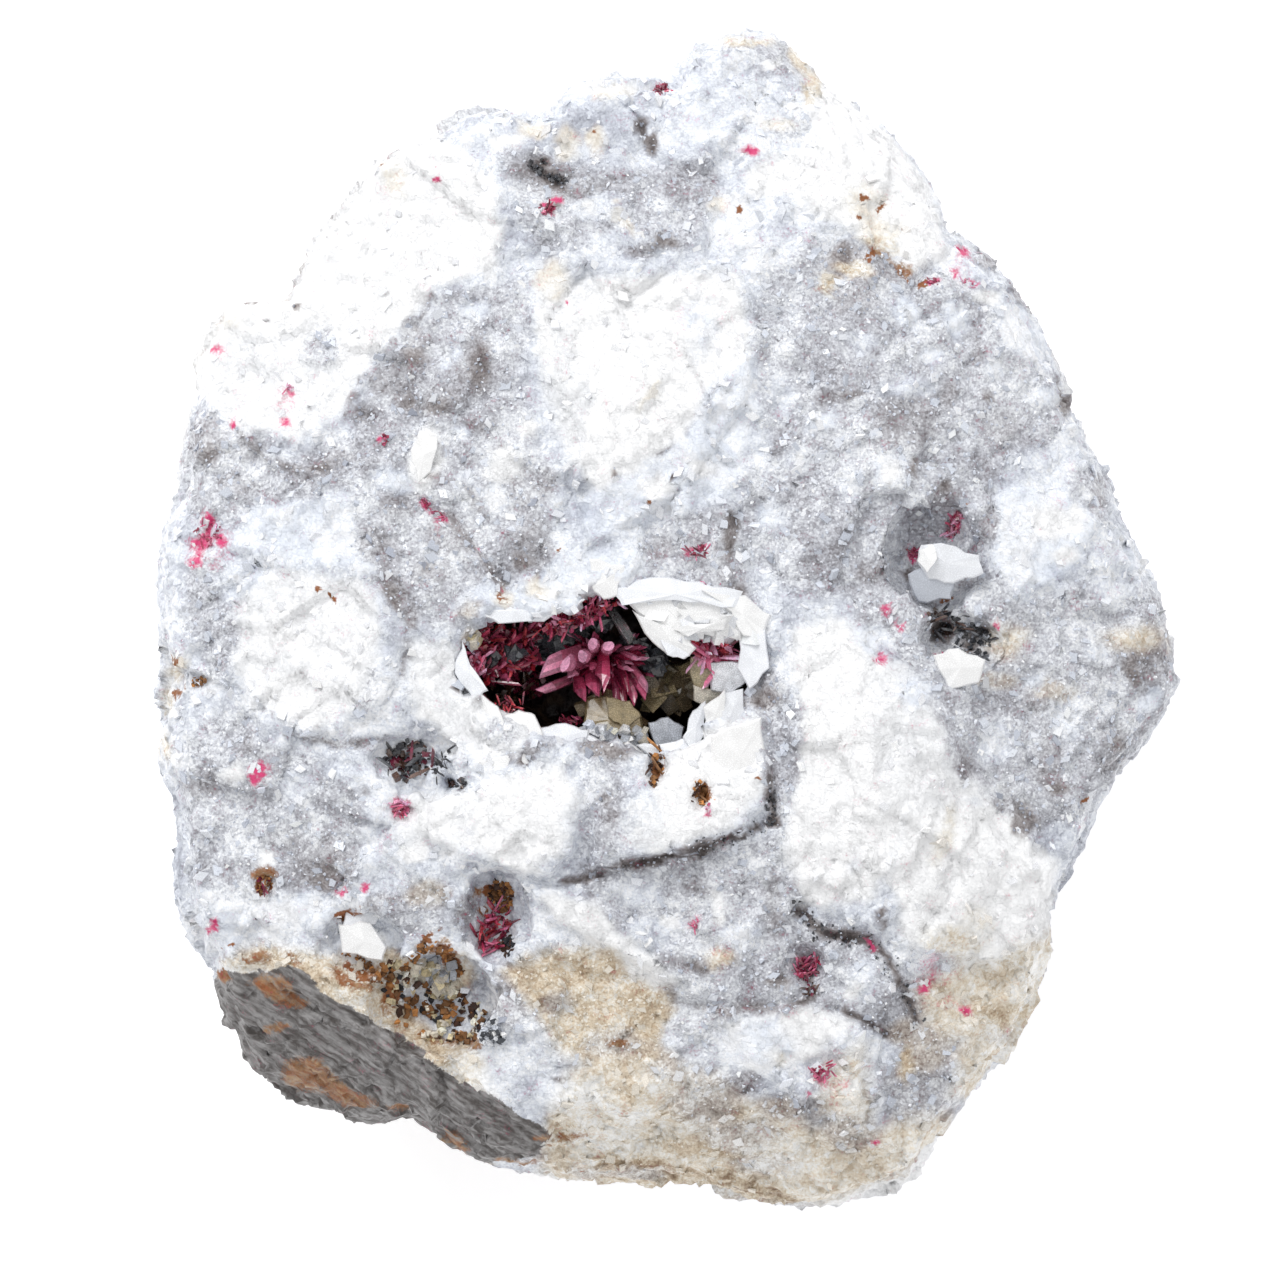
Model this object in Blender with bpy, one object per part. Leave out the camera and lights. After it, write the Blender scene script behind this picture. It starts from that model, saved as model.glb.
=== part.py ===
"""Erythrite on matrix: a broken lump of pale rock with crystals grown in its hollows.

The lump lies on its back on a flat broken facet. Its face looks up (+Z), +X is the face's right
and +Y the face's top. The origin is under the middle of the lump, on the surface it lies on.
Places on the face are read from a front view in pixels and turned into metres by place().
"""

import math
import random

import bmesh
import bpy
from mathutils import Matrix, Vector, noise

MM = 0.001

# Driving sizes of the lump
FACE_LENGTH = 100.0 * MM
CAVITY_LEVEL = 45.0 * MM
LEAST_RIM_LEVEL = 24.0 * MM
GRAIN_HEIGHT = 0.45 * MM
GRAIN_LENGTH = 7.0 * MM

# The front view: the pixel over the origin, and the rows that the face's length covers
CENTRE_PIXEL = (668, 621)
LENGTH_PIXELS = 1213 - 29
PIXEL = FACE_LENGTH / LENGTH_PIXELS

# The lump's outline in the front view, clockwise from its top
OUTLINE = (
    (726, 33), (781, 29), (797, 59), (820, 89), (871, 125), (899, 150), (920, 173), (943, 227),
    (978, 255), (1012, 283), (1022, 309), (1050, 357), (1073, 406), (1096, 462), (1114, 513),
    (1142, 562), (1160, 613), (1177, 661), (1176, 682), (1168, 712), (1126, 756), (1098, 799),
    (1083, 843), (1065, 879), (1047, 917), (1050, 958), (1032, 996), (1026, 1019), (998, 1057),
    (966, 1098), (938, 1142), (915, 1183), (851, 1204), (808, 1213), (755, 1195), (704, 1182),
    (602, 1177), (493, 1165), (440, 1130), (409, 1112), (358, 1122), (302, 1102), (256, 1076),
    (236, 1040), (228, 1002), (209, 955), (181, 884), (185, 838), (173, 787), (158, 743),
    (172, 666), (163, 559), (167, 531), (186, 493), (191, 421), (199, 396), (196, 350),
    (219, 301), (293, 301), (319, 232), (354, 199), (372, 148), (423, 143), (456, 125),
    (482, 113), (545, 118), (573, 87), (642, 74), (672, 82), (685, 46),
)

# Broken facets of the face: x, y of a point in pixels, its height in mm, tilt and bearing of fall
FACE_PLANES = (
    (640, 690, 45.6, 2, 90),
    (640, 400, 44.4, 8, 90),
    (700, 170, 40.5, 22, 80),
    (330, 330, 41.0, 20, 135),
    (220, 640, 41.5, 20, 180),
    (300, 860, 42.0, 16, 215),
    (345, 1012, 40.6, 54, 237),
    (680, 950, 43.5, 12, 270),
    (700, 1100, 40.6, 45, 268),
    (930, 1000, 41.0, 30, 315),
    (1060, 700, 40.5, 26, 350),
    (980, 400, 41.0, 24, 28),
    (880, 200, 38.5, 30, 50),
)

# Swells and dips of the face: x, y in pixels, half-sizes in mm, turn in degrees, height in mm
SWELLS = (
    (600, 800, 13.0, 4.5, 0, 1.5),
    (310, 650, 9.0, 9.0, 0, 1.0),
    (610, 940, 9.0, 2.5, -34, 1.3),
    (640, 380, 9.0, 5.0, 60, 0.8),
    (752, 640, 2.5, 12.0, 0, -1.0),
    (860, 730, 5.0, 10.0, 20, 0.8),
    (430, 990, 6.0, 5.0, 0, -2.0),
    (945, 580, 4.0, 6.0, 0, -1.5),
    (415, 765, 4.0, 3.5, 0, -1.0),
    (820, 915, 6.0, 1.5, -25, -0.8),
)

# The side: its widest line's height and the lean below it, by bearing in degrees
RIM_SHARE = 0.965
WAISTS = (
    (0, 27.0, 0.35),
    (40, 19.0, 0.20),
    (85, 25.0, 0.40),
    (130, 15.0, 0.15),
    (180, 24.0, 0.45),
    (225, 26.0, 0.55),
    (262, 21.0, 0.30),
    (310, 17.0, 0.20),
)
# Rows of the side: shares of the rim's height and of the waist's height
SIDE_ROWS = ((0.5, 0.5), (0.0, 1.0), (0.0, 0.72), (0.0, 0.46), (0.0, 0.2), (0.0, 0.0))
OUTLINE_BAND = 5.0 * MM
SMOOTHING_ARC = math.radians(16)

# Facets that undercut the side: bearing, distance at the middle height and at the foot in mm
UNDERCUTS = (
    (12, 43.0, 33.0),
    (52, 46.0, 31.0),
    (96, 50.0, 40.0),
    (140, 47.0, 37.0),
    (186, 43.0, 27.0),
    (236, 44.0, 30.0),
    (283, 48.0, 39.0),
    (330, 41.0, 33.0),
)
MIDDLE_LEVEL = 20.0 * MM
SIDE_ROUGHNESS = 1.5 * MM
GRID_CELLS = 36

# The main cavity's mouth in pixels, and its rings: depth in mm, scale, shift towards the top in mm
CAVITY_MOUTH = (
    (462, 636), (489, 621), (540, 617), (571, 608), (590, 588), (603, 576), (622, 588),
    (660, 588), (700, 592), (738, 604), (746, 640), (754, 668), (747, 694), (717, 714),
    (694, 740), (660, 746), (644, 756), (591, 742), (540, 736), (512, 724), (484, 714),
    (468, 690), (460, 662),
)
CAVITY_RINGS = ((-4.0, 1.0, 0.0), (1.0, 1.0, 0.0), (4.0, 1.1, 0.7), (9.0, 1.02, 0.9), (12.5, 0.7, 0.4))

# Pits that hold the other crystals: name, x, y in pixels, half-sizes and depth in mm, turn
PITS = (
    ("pit_left", 417, 765, 3.8, 2.8, 2.8, -15),
    ("pit_rosette", 402, 808, 1.5, 1.4, 1.3, 0),
    ("pit_right_slit", 937, 556, 4.3, 5.0, 4.4, -25),
    ("pit_right_hole", 958, 638, 3.5, 2.2, 3.4, -10),
    ("pit_lower_middle", 496, 914, 2.6, 4.2, 4.0, 8),
    ("pit_lower_left", 436, 1000, 5.4, 4.6, 4.0, 10),
    ("pit_lower_fan", 805, 966, 1.7, 1.9, 1.6, 0),
    ("pit_spar_crystal", 362, 942, 3.7, 2.9, 2.4, 15),
)

# Colours: red, green, blue, roughness
FINISHES = {
    "rock": (0.66, 0.66, 0.68, 0.7),
    "erythrite": (0.33, 0.02, 0.1, 0.35),
    "quartz": (0.85, 0.86, 0.86, 0.1),
    "ore": (0.04, 0.04, 0.05, 0.4),
    "amber": (0.35, 0.24, 0.1, 0.3),
    "honey": (0.7, 0.55, 0.35, 0.3),
    "spar": (0.85, 0.86, 0.9, 0.3),
    "rust": (0.25, 0.1, 0.03, 0.85),
    "cream": (0.8, 0.72, 0.55, 0.5),
    "speckled": (0.35, 0.34, 0.33, 0.7),
}


def clear_scene():
    """Remove the objects that a new file starts with."""
    for thing in list(bpy.data.objects):
        bpy.data.objects.remove(thing, do_unlink=True)


def finish(name):
    """The Principled material of one of the finishes, made once."""
    found = bpy.data.materials.get(name)
    if found:
        return found
    red, green, blue, roughness = FINISHES[name]
    material = bpy.data.materials.new(name)
    material.use_nodes = True
    shader = material.node_tree.nodes["Principled BSDF"]
    shader.inputs["Base Color"].default_value = (red, green, blue, 1.0)
    shader.inputs["Roughness"].default_value = roughness
    shader.inputs["Metallic"].default_value = 0.0
    return material


def place(px, py):
    """The x and y in metres of a pixel of the front view."""
    return (px - CENTRE_PIXEL[0]) * PIXEL, (CENTRE_PIXEL[1] - py) * PIXEL


def object_from(name, mesh_builder, finish_name=None):
    """An object whose mesh a bmesh function fills in."""
    work = bmesh.new()
    mesh_builder(work)
    bmesh.ops.recalc_face_normals(work, faces=work.faces)
    mesh = bpy.data.meshes.new(name)
    work.to_mesh(mesh)
    work.free()
    made = bpy.data.objects.new(name, mesh)
    bpy.context.scene.collection.objects.link(made)
    if finish_name:
        mesh.materials.append(finish(finish_name))
    return made


def as_cutter(thing):
    """Mark an object as a tool for Booleans and not a piece."""
    thing.hide_render = True
    thing.display_type = "WIRE"
    return thing


def boolean(thing, other, operation):
    """Add an EXACT Boolean modifier."""
    modifier = thing.modifiers.new(other.name, "BOOLEAN")
    modifier.operation = operation
    modifier.solver = "EXACT"
    modifier.object = other


def united(name, parts, finish_name):
    """One solid from overlapping parts: Boolean unions, applied, and the parts removed."""
    first, rest = parts[0], parts[1:]
    for part in rest:
        boolean(first, part, "UNION")
    graph = bpy.context.evaluated_depsgraph_get()
    mesh = bpy.data.meshes.new_from_object(first.evaluated_get(graph))
    for part in parts:
        bpy.data.objects.remove(part, do_unlink=True)
    mesh.name = name
    mesh.materials.clear()
    mesh.materials.append(finish(finish_name))
    made = bpy.data.objects.new(name, mesh)
    bpy.context.scene.collection.objects.link(made)
    return made


def outline_radius(bearing):
    """The outline's distance from the middle at a bearing in radians."""
    corners = []
    for px, py in OUTLINE:
        x, y = place(px, py)
        corners.append((math.atan2(y, x) % math.tau, math.hypot(x, y)))
    corners.sort()
    turn = bearing % math.tau
    after = next((i for i, corner in enumerate(corners) if corner[0] >= turn), 0)
    start, end = corners[after - 1], corners[after]
    width = (end[0] - start[0]) % math.tau
    share = ((turn - start[0]) % math.tau) / width
    return start[1] + (end[1] - start[1]) * share


def smooth_radius(bearing):
    """The outline's distance from the middle, averaged over an arc."""
    steps = range(-4, 5)
    return sum(outline_radius(bearing + step / 4 * SMOOTHING_ARC) for step in steps) / len(steps)


def waist(bearing):
    """The height of the side's widest line and the lean below it at a bearing in radians."""
    degrees = math.degrees(bearing) % 360
    rows = WAISTS + ((WAISTS[0][0] + 360, *WAISTS[0][1:]),)
    for before, after in zip(rows, rows[1:]):
        if before[0] <= degrees <= after[0]:
            share = (degrees - before[0]) / (after[0] - before[0])
            share = share * share * (3 - 2 * share)
            height, lean = (b + (a - b) * share for b, a in zip(before[1:], after[1:]))
            return height * MM, lean
    raise ValueError(f"no waist at {degrees} degrees")


def swell_height(x, y):
    """The sum of the face's swells and dips at a place."""
    total = 0.0
    for px, py, half_x, half_y, turn, height in SWELLS:
        cx, cy = place(px, py)
        across = Vector((x - cx, y - cy))
        across.rotate(Matrix.Rotation(-math.radians(turn), 2))
        away = (across.x / (half_x * MM)) ** 2 + (across.y / (half_y * MM)) ** 2
        total += height * MM * math.exp(-away)
    return total


def face_height(x, y):
    """The face's height over the surface that the lump lies on."""
    level = 1.0
    for px, py, height, tilt, bearing in FACE_PLANES:
        cx, cy = place(px, py)
        fall = (x - cx) * math.cos(math.radians(bearing)) + (y - cy) * math.sin(math.radians(bearing))
        level = min(level, height * MM - fall * math.tan(math.radians(tilt)))
    grain = noise.noise(Vector((x, y, 0.3)) / GRAIN_LENGTH) * GRAIN_HEIGHT
    fine = noise.noise(Vector((x, y, 4.1)) / GRAIN_LENGTH * 2.3) * GRAIN_HEIGHT * 0.6
    return max(level, LEAST_RIM_LEVEL) + swell_height(x, y) + grain + fine


def disc_place(across, up):
    """Bearing and share of the radius for a place on a square grid from -1 to 1."""
    if abs(across) > abs(up):
        share, bearing = abs(across), math.pi / 4 * (up / across)
        bearing += 0.0 if across > 0 else math.pi
    elif up:
        share, bearing = abs(up), math.pi / 2 - math.pi / 4 * (across / up)
        bearing += 0.0 if up > 0 else math.pi
    else:
        share, bearing = 0.0, 0.0
    return bearing, share


def side_place(bearing, height):
    """A point of the side at a bearing and a height."""
    widest, lean = waist(bearing)
    exact, smooth = outline_radius(bearing), smooth_radius(bearing)
    inner = min(exact, smooth)
    near = math.exp(-(((height - widest) / OUTLINE_BAND) ** 2))
    radius = inner + (exact - inner) * near - max(widest - height, 0.0) * lean
    if height < widest - 0.1 * MM:
        for facing, middle, foot in UNDERCUTS:
            slant = math.cos(bearing - math.radians(facing))
            if slant > 0.5:
                reach = (foot + (middle - foot) * height / MIDDLE_LEVEL) * MM
                radius = min(radius, reach / slant)
    x, y = radius * math.cos(bearing), radius * math.sin(bearing)
    rough = noise.noise(Vector((x, y, height * 1.6)) / GRAIN_LENGTH / 1.5) * SIDE_ROUGHNESS
    rough = -abs(rough) * (1.0 - near)
    return Vector((x + rough * math.cos(bearing), y + rough * math.sin(bearing), height))


def fill_lump(work):
    """The lump before its hollows: a grid for the face, rows for the side and a flat foot."""
    bmesh.ops.create_grid(work, x_segments=GRID_CELLS, y_segments=GRID_CELLS, size=1.0)
    rim_levels = []
    for vertex in work.verts:
        bearing, share = disc_place(vertex.co.x, vertex.co.y)
        exact, smooth = outline_radius(bearing), smooth_radius(bearing)
        radius = (smooth + (exact - smooth) * share**3) * share * RIM_SHARE
        x, y = radius * math.cos(bearing), radius * math.sin(bearing)
        vertex.co = (x, y, face_height(x, y))
        if vertex.is_boundary:
            rim_levels.append((bearing, vertex.co.z))

    def rim_level(bearing):
        """The height of the rim's nearest vertex."""
        return max(rim_levels, key=lambda row: math.cos(row[0] - bearing))[1]

    rim = [edge for edge in work.edges if edge.is_boundary]
    for rim_share, waist_share in SIDE_ROWS:
        grown = bmesh.ops.extrude_edge_only(work, edges=rim)["geom"]
        rim = [part for part in grown if isinstance(part, bmesh.types.BMEdge) and part.is_boundary]
        for vertex in (part for part in grown if isinstance(part, bmesh.types.BMVert)):
            bearing = math.atan2(vertex.co.y, vertex.co.x)
            height = rim_level(bearing) * rim_share + waist(bearing)[0] * waist_share
            vertex.co = side_place(bearing, height)
    bmesh.ops.edgeloop_fill(work, edges=rim)


def fill_cavity(work):
    """The main cavity's hollow: rings of the mouth's shape, wider inside than at the mouth."""
    corners = [Vector(place(px, py)) for px, py in CAVITY_MOUTH]
    middle = sum(corners, Vector((0.0, 0.0))) / len(corners)
    rings = []
    for depth, scale, shift in CAVITY_RINGS:
        ring = []
        for corner in corners:
            flat = middle + (corner - middle) * scale
            ring.append(work.verts.new((flat.x, flat.y + shift * MM, CAVITY_LEVEL - depth * MM)))
        rings.append(ring)
    for upper, lower in zip(rings, rings[1:]):
        for i, vertex in enumerate(upper):
            following = (i + 1) % len(upper)
            work.faces.new((vertex, upper[following], lower[following], lower[i]))
    work.faces.new(rings[0])
    work.faces.new(rings[-1])


def pit(name, px, py, half_x, half_y, depth, turn):
    """An uneven bowl that cuts a pit in the face."""
    x, y = place(px, py)
    shake = random.Random(name)

    def fill(work):
        bmesh.ops.create_icosphere(work, subdivisions=2, radius=1.0)
        for vertex in work.verts:
            vertex.co *= shake.uniform(1.0, 1.12)
        bmesh.ops.scale(work, vec=(half_x * MM, half_y * MM, depth * MM), verts=work.verts)
        bmesh.ops.rotate(work, matrix=Matrix.Rotation(math.radians(turn), 3, "Z"), verts=work.verts)

    bowl = object_from(name, fill)
    bowl.location = (x, y, face_height(x, y))
    return as_cutter(bowl)


def matrix():
    """The lump of rock, with its main cavity and pits."""
    lump = object_from("matrix", fill_lump, "rock")
    boolean(lump, as_cutter(object_from("main_cavity", fill_cavity)), "DIFFERENCE")
    for row in PITS:
        boolean(lump, pit(*row), "DIFFERENCE")
    lump.data.set_sharp_from_angle(angle=math.radians(25))
    return lump


def point(px, py, depth, level=None):
    """A point some mm under the face at a pixel, or under a given level."""
    x, y = place(px, py)
    top = CAVITY_LEVEL if level is None else level
    return Vector((x, y, top - depth * MM))


def level_at(px, py):
    """The face's height at a pixel."""
    return face_height(*place(px, py))


def blade(root, tip, width, thickness, roll=0.0):
    """A flat six-sided blade with a wedge end."""
    length = (tip - root).length
    shoulder = max(length - width * MM * 0.8, length * 0.6)
    stations = ((0.0, 0.75), (shoulder, 1.0), (length, 0.35))
    profile = ((0.5, 0.0), (0.32, 0.5), (-0.32, 0.5), (-0.5, 0.0), (-0.32, -0.5), (0.32, -0.5))

    def fill(work):
        rings = []
        for along, scale in stations:
            ring = []
            for wide, thick in profile:
                spot = (wide * width * scale * MM, thick * thickness * scale * MM, along)
                ring.append(work.verts.new(spot))
            rings.append(ring)
        for lower, upper in zip(rings, rings[1:]):
            for i, vertex in enumerate(lower):
                following = (i + 1) % len(lower)
                work.faces.new((vertex, lower[following], upper[following], upper[i]))
        work.faces.new(rings[0])
        work.faces.new(rings[-1])
        turn = (tip - root).to_track_quat("Z", "Y").to_matrix() @ Matrix.Rotation(roll, 3, "Z")
        bmesh.ops.rotate(work, matrix=turn, verts=work.verts)
        bmesh.ops.translate(work, vec=root, verts=work.verts)

    return object_from("blade", fill)


def block(centre, half_x, half_y, half_z, turn=(0.0, 0.0, 0.0), uneven=0.15, seed=0, cut=0.0):
    """A broken crystal block: a box with uneven corners, and one corner cut off if asked."""
    shake = random.Random(seed)

    def fill(work):
        for sx in (-1, 1):
            for sy in (-1, 1):
                for sz in (-1, 1):
                    keep = 1.0 - cut if sx > 0 and sz > 0 else 1.0
                    spot = Vector((sx * half_x, sy * half_y, sz * half_z)) * MM * keep
                    spot *= 1.0 - shake.uniform(0.0, uneven)
                    work.verts.new(spot)
        bmesh.ops.convex_hull(work, input=work.verts)
        for axis, degrees in zip("XYZ", turn):
            turned = Matrix.Rotation(math.radians(degrees), 3, axis)
            bmesh.ops.rotate(work, matrix=turned, verts=work.verts)
        bmesh.ops.translate(work, vec=centre, verts=work.verts)

    return object_from("block", fill)


def core(centre, radius, flat=1.0, seed=0):
    """An uneven ball that crystals of a group grow from."""
    shake = random.Random(seed)

    def fill(work):
        bmesh.ops.create_icosphere(work, subdivisions=1, radius=radius * MM)
        for vertex in work.verts:
            vertex.co *= shake.uniform(0.88, 1.0)
            vertex.co.z *= flat
        bmesh.ops.translate(work, vec=centre, verts=work.verts)

    return object_from("core", fill)


def spray(name, centre, radius, tips, finish_name="erythrite", flat=1.0):
    """A fan of blades from one core: tips are x, y in pixels, depth, width and thickness in mm."""
    level = centre.z
    parts = [core(centre, radius, flat, name)]
    for i, (px, py, rise, width, thickness) in enumerate(tips):
        x, y = place(px, py)
        tip = Vector((x, y, level + rise * MM))
        root = centre + (tip - centre).normalized() * radius * MM * 0.25
        parts.append(blade(root, tip, width, thickness, roll=0.35 * i))
    return united(name, parts, finish_name)


def cavity_crystals():
    """The crystals in the main cavity."""
    spray("erythrite_spray", point(598, 654, 6.5), 1.35, (
        (559, 670, 3.2, 1.2, 0.55),
        (563, 689, 2.6, 0.8, 0.45),
        (583, 698, 2.6, 0.75, 0.4),
        (570, 674, 4.0, 1.0, 0.5),
        (601, 687, 4.0, 0.95, 0.5),
        (609, 702, 2.5, 0.7, 0.4),
        (626, 703, 2.1, 0.7, 0.4),
        (640, 697, 1.8, 0.65, 0.4),
        (648, 684, 1.6, 0.6, 0.4),
        (592, 634, 4.0, 0.8, 0.45),
        (634, 666, 3.4, 0.6, 0.4),
    ))
    spray("erythrite_roof_crust", point(584, 606, 5.0), 0.8, (
        (560, 620, 1.8, 0.6, 0.35),
        (572, 614, 2.6, 0.55, 0.35),
        (583, 600, 2.9, 0.6, 0.4),
        (595, 592, 2.2, 0.55, 0.35),
        (592, 618, 1.4, 0.55, 0.35),
        (601, 601, 2.0, 0.5, 0.3),
    ))
    spray("erythrite_left_crust", point(476, 641, 7.0), 0.9, (
        (476, 628, 3.2, 0.6, 0.35),
        (467, 643, 4.0, 0.6, 0.4),
        (488, 633, 3.4, 0.55, 0.35),
        (489, 645, 2.6, 0.6, 0.35),
        (473, 660, 2.8, 0.6, 0.35),
        (482, 652, 3.8, 0.5, 0.3),
    ))
    spray("erythrite_right_cluster", point(716, 650, 5.5), 0.8, (
        (700, 640, 2.0, 0.55, 0.35),
        (701, 656, 2.4, 0.7, 0.4),
        (722, 637, 2.0, 0.5, 0.3),
        (728, 652, 2.2, 0.5, 0.3),
        (713, 660, 2.2, 0.55, 0.35),
    ))
    prism = blade(point(612, 612, 5.6), point(631, 640, 1.7), 1.0, 0.9)
    united("quartz_prism", [prism], "quartz")
    united("ore_crystals_left", [
        block(point(552, 634, 8.0), 1.1, 0.9, 1.2, (20, 10, 25), seed=1),
        block(point(562, 626, 7.6), 0.8, 0.9, 1.0, (-10, 25, 50), seed=2),
        block(point(545, 638, 8.2), 0.6, 0.7, 0.8, (35, 0, 10), seed=3),
    ], "ore")
    united("ore_crystals_right", [
        block(point(661, 654, 8.6), 1.0, 1.1, 1.1, (15, 25, 35), seed=4),
        block(point(672, 645, 8.2), 0.9, 0.8, 0.9, (40, 10, 0), seed=5),
    ], "ore")
    united("amber_calcite", [
        block(point(606, 715, 5.8), 1.8, 1.1, 2.3, (26, 8, 12), seed=6, cut=0.3),
        block(point(629, 718, 5.8), 1.4, 1.0, 2.2, (20, -14, 40), seed=7),
    ], "amber")
    united("honey_calcite", [
        block(point(703, 679, 5.2), 1.3, 1.2, 2.2, (10, 18, 20), seed=8),
        block(point(724, 680, 4.8), 1.1, 1.1, 2.1, (-8, -12, 50), seed=9),
        block(point(709, 696, 5.6), 1.2, 1.0, 1.8, (20, 5, 70), seed=10, cut=0.2),
    ], "honey")
    united("spar_blades", [
        block(point(664, 619, 1.6), 2.8, 1.1, 0.8, (6, 4, -36), seed=11, cut=0.25),
        block(point(699, 618, 1.6), 2.1, 1.1, 0.8, (-6, -4, -6), seed=12),
        block(point(676, 638, 1.9), 1.5, 1.0, 0.8, (10, 0, -30), seed=13),
    ], "spar")


def outer_crystals():
    """The crystals in the pits of the face."""
    level = level_at(415, 765)
    united("black_crystals_left", [
        block(point(405, 759, 0.8, level), 1.1, 0.8, 0.8, (20, 10, 30), seed=21),
        block(point(420, 768, 0.8, level), 1.1, 0.7, 0.8, (-20, 15, 60), seed=22),
        block(point(432, 760, 0.7, level), 0.9, 0.5, 0.7, (10, -25, 15), seed=23),
    ], "ore")
    level = level_at(402, 808)
    spray("erythrite_rosette", point(402, 808, 0.45, level), 0.45, (
        (393, 804, 0.5, 0.4, 0.25),
        (404, 799, 0.5, 0.4, 0.25),
        (411, 809, 0.5, 0.4, 0.25),
        (400, 817, 0.5, 0.4, 0.25),
        (403, 808, 0.9, 0.45, 0.3),
    ))
    level = level_at(938, 556)
    spray("erythrite_right_slit", point(950, 532, 1.8, level), 0.6, (
        (954, 515, 1.6, 0.5, 0.3),
        (946, 520, 1.9, 0.45, 0.3),
        (945, 541, 1.4, 0.45, 0.3),
        (958, 527, 1.5, 0.4, 0.25),
    ))
    united("spar_points_right", [
        block(point(938, 566, 1.4, level), 1.8, 1.1, 0.9, (8, -12, 12), seed=31, cut=0.35),
        block(point(932, 578, 1.8, level), 1.4, 0.9, 0.9, (-10, 12, -30), seed=32),
        blade(point(940, 566, 1.4, level), point(914, 561, 0.3, level), 1.0, 0.8),
    ], "spar")
    level = level_at(956, 636)
    united("black_crystals_right", [
        block(point(968, 638, 1.3, level), 1.1, 0.8, 0.9, (15, 20, -20), seed=33),
        block(point(953, 637, 1.7, level), 0.9, 0.7, 0.8, (30, -10, 40), seed=34),
    ], "ore")
    level = level_at(496, 914)
    spray("erythrite_lower_sprig", point(494, 928, 2.0, level), 0.7, (
        (478, 936, 1.7, 0.55, 0.3),
        (486, 944, 1.5, 0.5, 0.3),
        (502, 942, 1.4, 0.5, 0.3),
        (486, 918, 1.8, 0.5, 0.3),
        (504, 912, 1.6, 0.55, 0.35),
    ))
    united("rust_crust_middle", [
        block(point(501, 891, 0.9, level), 0.8, 0.8, 0.7, (10, 20, 15), seed=41),
        block(point(496, 899, 1.3, level), 0.7, 0.5, 0.6, (-15, 5, 60), seed=42),
    ], "rust")
    level = level_at(434, 1000)
    united("rust_crust_left", [
        block(point(420, 1015, 1.6, level), 1.7, 0.9, 0.8, (8, 12, -20), seed=43),
        block(point(440, 1020, 1.5, level), 1.6, 0.8, 0.8, (-10, 8, 15), seed=44),
        block(point(456, 1016, 1.4, level), 0.9, 0.8, 0.7, (20, 0, 50), seed=45),
    ], "rust")
    united("cream_calcite", [
        block(point(422, 980, 1.2, level), 1.3, 0.8, 0.8, (12, -10, 35), seed=46),
        block(point(437, 974, 1.1, level), 1.1, 0.8, 0.7, (-8, 16, -10), seed=47),
    ], "cream")
    core_place = point(472, 988, 1.0, level)
    united("speckled_nodule", [core(core_place, 0.95, 0.9, "nodule")], "speckled")
    level = level_at(805, 966)
    spray("erythrite_lower_fan", point(806, 968, 0.8, level), 0.5, (
        (796, 957, 0.7, 0.55, 0.3),
        (806, 953, 0.8, 0.5, 0.3),
        (815, 959, 0.7, 0.45, 0.25),
        (808, 980, 0.5, 0.4, 0.25),
    ))
    level = level_at(362, 942)
    united("spar_crystal_left", [
        block(point(357, 944, 0.4, level), 1.7, 1.1, 0.9, (10, 10, 15), seed=51, cut=0.2),
        block(point(368, 940, 0.3, level), 1.3, 1.0, 0.9, (-12, 8, 40), seed=52),
    ], "spar")


def main():
    """Build the lump and its crystals."""
    clear_scene()
    matrix()
    cavity_crystals()
    outer_crystals()


main()
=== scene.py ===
"""Erythrite on matrix: the looks of a broken lump of pale rock and the crystals in its hollows.

The lump lies on its back with its face up. The camera looks straight down on the face. Places on
the face are named by the pixels of a front view, which FaceView turns into metres. Heights are in
millimetres over the floor, and the face is about 45 mm high round the main cavity.
"""

import logging
import math
import random
from dataclasses import dataclass, field
from enum import Enum
from typing import Callable, Iterable, Sequence

import bpy
import numpy as np
from mathutils import Euler, Matrix, Vector


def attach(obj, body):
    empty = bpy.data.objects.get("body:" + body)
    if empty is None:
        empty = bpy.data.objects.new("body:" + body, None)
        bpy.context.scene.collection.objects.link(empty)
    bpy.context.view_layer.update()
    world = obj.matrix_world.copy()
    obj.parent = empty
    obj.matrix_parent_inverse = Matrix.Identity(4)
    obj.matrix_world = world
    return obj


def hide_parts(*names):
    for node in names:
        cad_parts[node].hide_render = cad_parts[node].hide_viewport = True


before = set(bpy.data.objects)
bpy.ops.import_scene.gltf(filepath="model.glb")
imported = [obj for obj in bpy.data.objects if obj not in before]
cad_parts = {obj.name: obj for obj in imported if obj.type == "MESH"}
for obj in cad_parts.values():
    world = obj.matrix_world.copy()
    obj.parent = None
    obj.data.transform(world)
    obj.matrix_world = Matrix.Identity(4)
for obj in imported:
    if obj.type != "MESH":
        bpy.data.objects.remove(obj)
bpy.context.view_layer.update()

MM = 0.001
LOG = logging.getLogger("erythrite")

Pixel = tuple[float, float]
Colour = tuple[float, float, float]
Socket = bpy.types.NodeSocket


@dataclass(frozen=True)
class FaceView:
    """How the pixels of the front view fall on the lump.

    Attributes:
        centre: the pixel over the frame's origin.
        pixel: the size of a pixel on the lump, in metres.
    """

    centre: Pixel = (668.0, 621.0)
    pixel: float = 100.0 * MM / 1184.0

    def place(self, px: float, py: float) -> tuple[float, float]:
        """The x and y in metres of a pixel."""
        return (px - self.centre[0]) * self.pixel, (self.centre[1] - py) * self.pixel

    def point(self, px: float, py: float, height: float) -> Vector:
        """The point in metres over a pixel, at a height in millimetres."""
        x, y = self.place(px, py)
        return Vector((x, y, height * MM))


VIEW = FaceView()


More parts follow.
